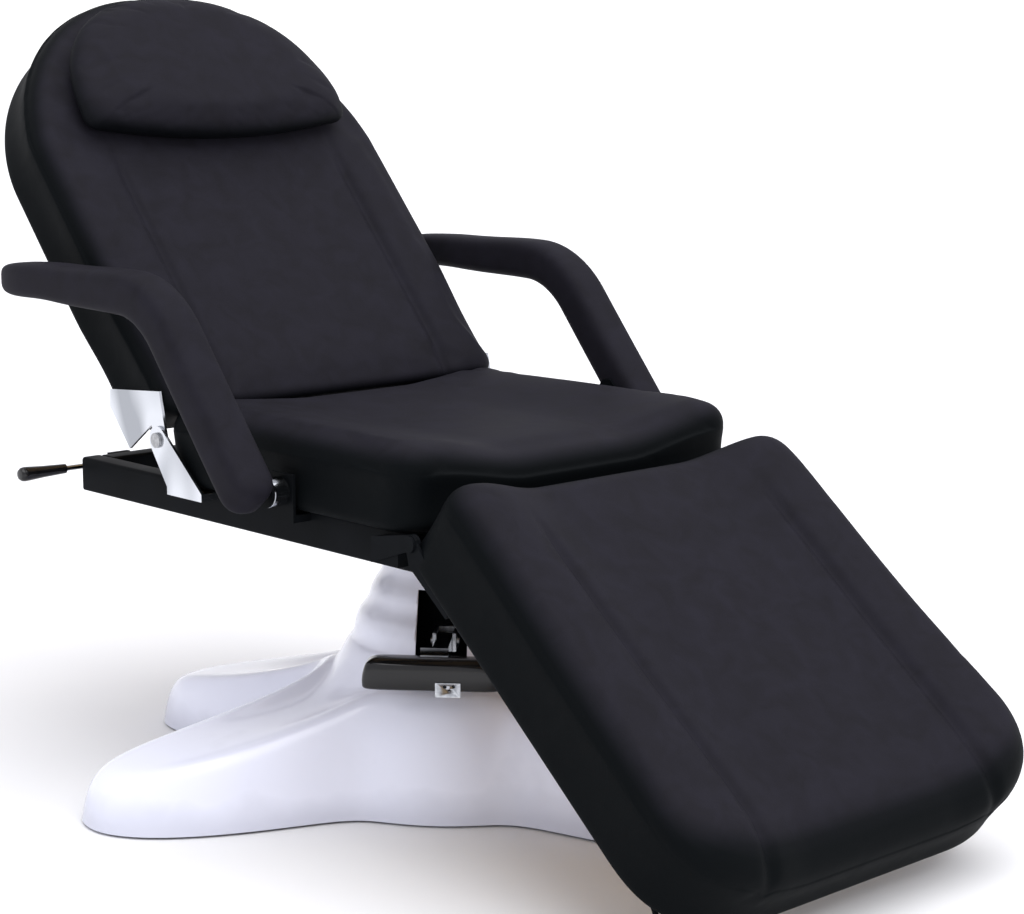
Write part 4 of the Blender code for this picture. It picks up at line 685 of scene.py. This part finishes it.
back = upholstered(four_runs(back_outline(), (0.282, 0.005), (0.199, 0.662), 96, 84), back_top,
                   edge=(0.030, 0.022, 0.030), drop=(0.028, 0.028, 0.028), draw=0.004, flare=0.0,
                   board=(0.025, BACK_SHOULDER, 0.285, 0.0153))
pad("back_pad", *back, back_place, "back", "back_cushion", 0.006)

# Leg pad: foam, cover and board as on the seat, carried by two steel arms that are hinged at the front of
# the frame. It is a little narrower at the knee, and its foot end is rounded in plan.
LEG_PIVOT, LEG_TILT = np.array([-0.2774, 0.433]), np.radians(38.5)
LEG_LONG, LEG_TOE, LEG_THICK, LEG_LOW, LEG_OVERLAP = 0.609, 0.504, 0.120, -0.020, 0.006


def leg_outline():
    """Right half of the panel's outline: knee corner, side that widens to the foot, and a rounded toe."""
    half, near, corner, power = 0.276, 0.024, 0.010, 2.2
    toe_flat, toe_round, toe_start, toe_end = 0.168, 0.125, LEG_TOE - 0.010, LEG_LONG - 0.056
    share = np.sin(np.radians(np.linspace(0, 90, 40)))
    toe_half = toe_flat + toe_round * (1 - share ** power) ** (1 / power)
    toe = np.stack([toe_half, toe_start + share * (toe_end - toe_start)], -1)
    knee = corner_arc((half - corner, near + corner), corner, -90, 0)
    return np.concatenate([[(0, near)], knee, toe, [(0, toe_end)]])


def leg_top(across, along):
    """Rolls and a lower panel along the whole leg, flattening towards the toe."""
    dip = 0.030 - 0.010 * smooth_step(along, 0.02, 0.25)
    crease = 0.0095 * smooth_step(along, 0.04, 0.16)
    height = LEG_THICK + 0.012 - 0.006 * smooth_step(along, 0.05, 0.35)
    return roll_top(across, height, dip, 0.13, 0.268, crease)


leg_points, leg_faces, leg_held, leg_painted_shade = upholstered(
    four_runs(leg_outline(), (0.273, 0.027), (0.257, 0.534), 96, 70), leg_top,
    edge=(0.041, 0.028, 0.071), drop=(0.027, 0.027, 0.041), draw=0.002, flare=0.001,
    board=(0.025, LEG_TOE, 0.279, 0.0153))
# It runs towards -Y, which mirrors it, so its faces are turned over to look outwards.
pad("leg_pad", leg_points, leg_faces[:, ::-1], leg_held, leg_painted_shade,
    lambda x, along, up: tilted(LEG_PIVOT, LEG_TILT, x, LEG_OVERLAP - along, LEG_LOW + up),
    "leg", "leg_cushion", 0.003)


# Head pillow: a D-shaped foam pillow sewn into the same leather, its sides and lower lip darkened as
# painted shade. A strip of hook and loop holds it on the head of the back pad.
PILLOW_START, PILLOW_LONG, PILLOW_HALF, PILLOW_TALL = 0.475, 0.250, 0.245, 0.062
PILLOW_REST = 0.0683


def pillow_shell():
    """Rings from the middle of the top over the rim to the middle of the underside: each is a D outline
    scaled by a share. The top is a flat dome over a rim that rounds on quarter ellipses above and below its
    waist; it is lower towards the head and pinched at both corners."""
    corner, bow, power, centre = 0.020, 0.024, 2.2, np.array([0.0, 0.105])
    rise = np.sin(np.radians(np.linspace(0, 90, 80)))
    side = np.stack([PILLOW_HALF * (1 - rise ** power) ** (1 / power),
                     corner + (PILLOW_LONG - corner) * rise], -1)
    across = np.linspace(0, PILLOW_HALF - corner, 12)
    low = np.stack([across, -bow * (1 - (across / across[-1]) ** 2)], -1)
    half = np.concatenate([low, corner_arc((PILLOW_HALF - corner, corner), corner, -76, 0), side])
    outline = even(np.concatenate([half, half[-2::-1] * (-1.0, 1.0)]), 261)[:-1]
    flat, rim, sole, heel, waist = 0.78, 0.22, 0.86, 0.14, 0.45
    share = np.concatenate([np.linspace(0, flat, 16),
                            flat + rim * np.sin(np.radians(np.linspace(8, 90, 13)))])
    edge = np.sqrt(np.clip(1 - (np.clip(share - flat, 0, 1) / rim) ** 2, 0, 1))
    top = waist + 0.47 * edge + 0.08 * (1 - share ** 2)
    base = waist * (1 - np.sqrt(np.clip(1 - (np.clip(share - sole, 0, 1) / heel) ** 2, 0, 1)))
    scale = np.concatenate([share, share[-2::-1]])[:, None, None]
    spot = centre + (outline - centre) * scale
    up = np.concatenate([top, base[-2::-1]])[:, None]
    lean = 1 - 0.12 * np.clip(spot[..., 1] / PILLOW_LONG, 0, 1) ** 3
    from_corner = (np.abs(spot[..., 0]) - 0.240) ** 2 + (spot[..., 1] - 0.004) ** 2
    pinch = 1 - 0.22 * np.exp(-from_corner / 0.026 ** 2)
    return np.stack([spot[..., 0] - 0.006, PILLOW_START + spot[..., 1], PILLOW_TALL * up * lean * pinch], -1)


dome = pillow_shell()
pillow_points = tilted(BACK_PIVOT, BACK_TILT, dome[..., 0].ravel(), BACK_START + dome[..., 1].ravel(),
                       PILLOW_REST + dome[..., 2].ravel())
pillow = build("pillow_pad", pillow_points, grid_faces(*dome.shape[:2], False, True), leather, 180.0)
spots = np.empty(len(pillow.data.vertices) * 3)
pillow.data.vertices.foreach_get("co", spots)
lift = ((spots[2::3] - BACK_PIVOT[1]) * np.cos(BACK_TILT)
        - (spots[1::3] - BACK_PIVOT[0]) * np.sin(BACK_TILT))
# Painted shade: the lowest 26 mm of the pillow, its sides, lip and underside, take 0.8 of the dark side
# colour, fading out by 52 mm up.
dark = 0.8 * (1 - smooth_step(lift - PILLOW_REST, 0.026, 0.052))
pillow.data.attributes.new("band", "FLOAT", "POINT").data.foreach_set("value", dark)
blown(pillow, np.where(lift < PILLOW_REST + 0.020, 1.0, 0.0), 0.0035)
hang(pillow, "back", "leather", "head_pillow")


# Armrests: a bent foam pad in the same leather, drawn tight over a steel strap. Each turns on a chrome hub
# that stands out from the frame beside the seat.
ARM_PIVOT, ARM_OUT = (-0.020, 0.466), 0.3825
HUB_LINE = ((0, 0.3150), (0.008, 0.3150), (0.008, 0.3196), (0.0185, 0.3196), (0.020, 0.3211), (0.020, 0.3439),
            (0.0185, 0.3454), (0.008, 0.3454), (0.008, 0.3497), (0, 0.3497))


def arm_line():
    """Centre line in Y and Z: rear end, level top, an arc that touches both straights, then the post."""
    rear, bend, foot, radius = (np.array(p) for p in ((0.559, 0.715), (0.166, 0.708), (-0.045, 0.455), 0.140))
    to_rear = (rear - bend) / np.linalg.norm(rear - bend)
    to_foot = (foot - bend) / np.linalg.norm(foot - bend)
    half = np.arccos(to_rear @ to_foot) / 2
    middle = (to_rear + to_foot) / np.linalg.norm(to_rear + to_foot)
    centre = bend + middle * radius / np.sin(half)
    first = bend + to_rear * radius / np.tan(half) - centre
    begin = np.arctan2(first[1], first[0])
    angle = np.linspace(begin, begin + np.pi - 2 * half, 25)
    curve = centre + radius * np.stack([np.cos(angle), np.sin(angle)], -1)
    return np.concatenate([[rear], curve, [foot]])


def arm_shell(side):
    """A superellipse section carried along the centre line, which rises 6 mm near the bend and sinks 7 mm to
    the rear. Both ends close in a dome, blunter in depth than in plan. Under the hand the section grows from
    82 percent of its depth at the rear to all of it at the bend, its top staying level."""
    half_wide, half_deep, power, steps = 0.0325, 0.031, 3.6, 90
    line = even(arm_line(), steps)
    swell = 0.006 * np.exp(-((line[:, 0] - 0.24) / 0.10) ** 2)
    line[:, 1] += swell - 0.007 * smooth_step(line[:, 0], 0.40, 0.565)
    length = np.linalg.norm(np.diff(line, axis=0), axis=1).sum()
    done = np.linspace(0, length, steps)
    rear_tip, foot_tip = 0.095, 0.034
    curve = 1 - np.cos(np.radians(np.linspace(0, 85, 12)))
    between = done[(done > rear_tip) & (done < length - foot_tip)]
    stations = np.unique(np.concatenate([between, rear_tip * curve, length - foot_tip * curve]))
    spot = np.stack([np.interp(stations, done, line[:, i]) for i in (0, 1)], -1)
    run = np.gradient(spot, axis=0)
    run /= np.linalg.norm(run, axis=1)[:, None]
    inward = np.maximum(1 - stations / rear_tip, 1 - (length - stations) / foot_tip).clip(0)
    size = np.sqrt(1 - inward ** 2)
    thick = (1 - inward ** 3) ** (1 / 3)
    depth = (0.82 + 0.18 * smooth_step(stations, 0.05, 0.36))[:, None]
    angle = 2 * np.pi * np.arange(56) / 56
    across = half_wide * np.sign(np.cos(angle)) * np.abs(np.cos(angle)) ** (2 / power)
    deep = half_deep * np.sign(np.sin(angle)) * np.abs(np.sin(angle)) ** (2 / power)
    x = side * ARM_OUT + size[:, None] * across
    sunk = thick[:, None] * deep * depth - half_deep * (1 - depth)
    y = spot[:, :1] - run[:, 1:] * sunk
    z = spot[:, 1:] + run[:, :1] * sunk
    return np.stack([x, y, z], -1)


for side_name, side in (("right", -1), ("left", 1)):
    shape = arm_shell(side)
    arm = build("arm_pad_" + side_name, shape, grid_faces(*shape.shape[:2], False, True), leather, 180.0)
    hang(arm, "armrest_" + side_name, "leather", "armrest_pad_" + side_name)
    hub_line = [(radius, side * out) for radius, out in HUB_LINE]
    hub = turned("arm_hub_" + side_name, hub_line, chrome, 0, ARM_PIVOT)
    hang(hub, "top", "chrome", "armrest_hub_" + side_name)


# Hinges: brackets and side plates for the back, cut from steel sheet and chrome plated, on ground steel pins.
# Zinc-plated forks and lugs hold the two gas struts, which have black cylinders and chrome rods.
paint(chrome, "back_bracket_right", "back_bracket_left", "back_side_plate_right", "back_side_plate_left")
paint(zinc, "back_strut_clevis", "back_strut_lug", "leg_strut_clevis", "leg_strut_lug")
paint(bare_steel, "back_hinge_pin_right", "back_hinge_pin_left")
paint(powder_black, "leg_hinge_pin_right", "leg_hinge_pin_left")
paint(black_abs, "back_strut_cylinder", "leg_strut_cylinder")
paint(chrome, "back_strut_rod", "leg_strut_rod")


# Recline lever and leg release: a chrome rod with a moulded black grip, held in a bracket at the rear of the
# frame, and a hook of bent wire in black powder coat, held in a clip under the leg pad.
paint(chrome, "lever_rod")
grip_low, grip_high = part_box("lever_grip")
grip = turned("lever_handle", [(0, grip_high.x), (0.0060, grip_high.x), (0.0072, grip_high.x - 0.001),
                               (0.0088, -0.350), (0.0106, -0.374), (0.0109, -0.381), (0.0101, -0.386),
                               (0.0075, -0.3892), (0.0035, grip_low.x), (0, grip_low.x)], black_abs, 0,
              ((grip_low.y + grip_high.y) / 2, (grip_low.z + grip_high.z) / 2))
hang(grip, "lever", "gloss_black", "lever_grip")


def bent_wire(path, normal, radius):
    """A circle carried along a flat path, square to it, and closed by a point at both ends."""
    run = np.gradient(path, axis=0)
    run /= np.linalg.norm(run, axis=1)[:, None]
    angle = 2 * np.pi * np.arange(16)[None, :, None] / 16
    ring = path[:, None] + radius * (np.cos(angle) * normal + np.sin(angle) * np.cross(run, normal)[:, None])
    ends = np.broadcast_to(path[[0, -1], None], (2, 16, 3))
    return np.concatenate([ends[:1], ring, ends[1:]])


WIRE_X, WIRE_Y, WIRE_Z, WIRE_LONG = -0.270, -0.525, LEG_LOW - 0.0058, 0.0501
wire_fall = np.array([-0.045, -0.022]) / WIRE_LONG
bends = chaikin(np.array([(0.015, 0), (-0.011, 0), (-0.022, 0), (-0.022, 0.011), (-0.022, WIRE_LONG - 0.011),
                          (-0.022, WIRE_LONG), (-0.011, WIRE_LONG), (0.022, WIRE_LONG)]), 4)
wire_path = tilted(LEG_PIVOT, LEG_TILT, WIRE_X + bends[:, 0], WIRE_Y + bends[:, 1] * wire_fall[0],
                   WIRE_Z + bends[:, 1] * wire_fall[1])
flat_on = np.cross(wire_path[-1] - wire_path[-2], wire_path[len(bends) // 2] - wire_path[-1])
wire = bent_wire(wire_path, flat_on / np.linalg.norm(flat_on), 0.0035)
release = build("release_wire", wire, grid_faces(*wire.shape[:2], False, True), powder_black, 50.0)
hang(release, "handle", "black_steel", "leg_release_handle")


# Studio: a floor of pale paper that runs out of view, one broad soft light overhead and a little in front of
# the bed, and an even pale surround, whitest at the horizon. The camera stands off the bed's right front.
def studio_floor():
    """Matt pale floor paper with a faint mottle about 30 cm across."""
    material, tree, shader, place = finish("pale_floor_paper")
    mottle = add(tree, "ShaderNodeTexNoise", {"Vector": place, "Scale": 3.0, "Detail": 2.0})
    tint = add(tree, "ShaderNodeValToRGB", {"Fac": mottle.outputs["Fac"]})
    tint.color_ramp.elements[0].color = linear("#ebebec")
    tint.color_ramp.elements[1].color = linear("#f1f1f1")
    shader.inputs["Roughness"].default_value = 0.9
    tree.links.new(tint.outputs["Color"], shader.inputs["Base Color"])
    return material


span = np.linspace(-90.0, 90.0, 3)
floor_x, floor_y = np.meshgrid(span, span, indexing="ij")
floor_points = np.stack([floor_x, floor_y, 0 * floor_x - 0.0005], -1)
floor = build("floor", floor_points, grid_faces(3, 3), studio_floor())


key_data = bpy.data.lights.new("overhead", "SUN")
key_data.energy = 2.2
key_data.angle = np.radians(70.0)
key = bpy.data.objects.new("overhead", key_data)
key.rotation_euler = Vector((0.05, -0.35, 0.93)).to_track_quat("Z", "Y").to_euler()
bpy.context.scene.collection.objects.link(key)
world = bpy.data.worlds.new("pale_surround")
world.use_nodes = True
sky = world.node_tree.nodes["Background"]
sky.inputs["Strength"].default_value = 1.32
toward = add(world.node_tree, "ShaderNodeTexCoord", {}).outputs["Generated"]
rise = add(world.node_tree, "ShaderNodeSeparateXYZ", {"Vector": toward}).outputs["Z"]
shade = add(world.node_tree, "ShaderNodeValToRGB", {"Fac": rise})
shade.color_ramp.elements[0].color = linear("#ffffff")
shade.color_ramp.elements[0].position = 0.04
shade.color_ramp.elements[1].color = linear("#d6d6dc")
shade.color_ramp.elements[1].position = 0.16
world.node_tree.links.new(shade.outputs["Color"], sky.inputs["Color"])
bpy.context.scene.world = world
bpy.context.scene.view_settings.view_transform = "Standard"

camera_data = bpy.data.cameras.new("camera")
camera_data.sensor_width = 36.0
camera_data.lens = 82.7
camera_data.shift_x = 0.0106
camera_data.shift_y = -0.0491
camera = bpy.data.objects.new("camera", camera_data)
camera.location = (-2.185, -2.482, 1.052)
camera.rotation_euler = np.radians((90 - 8.745, 0, -42.573))
bpy.context.scene.collection.objects.link(camera)
bpy.context.scene.camera = camera
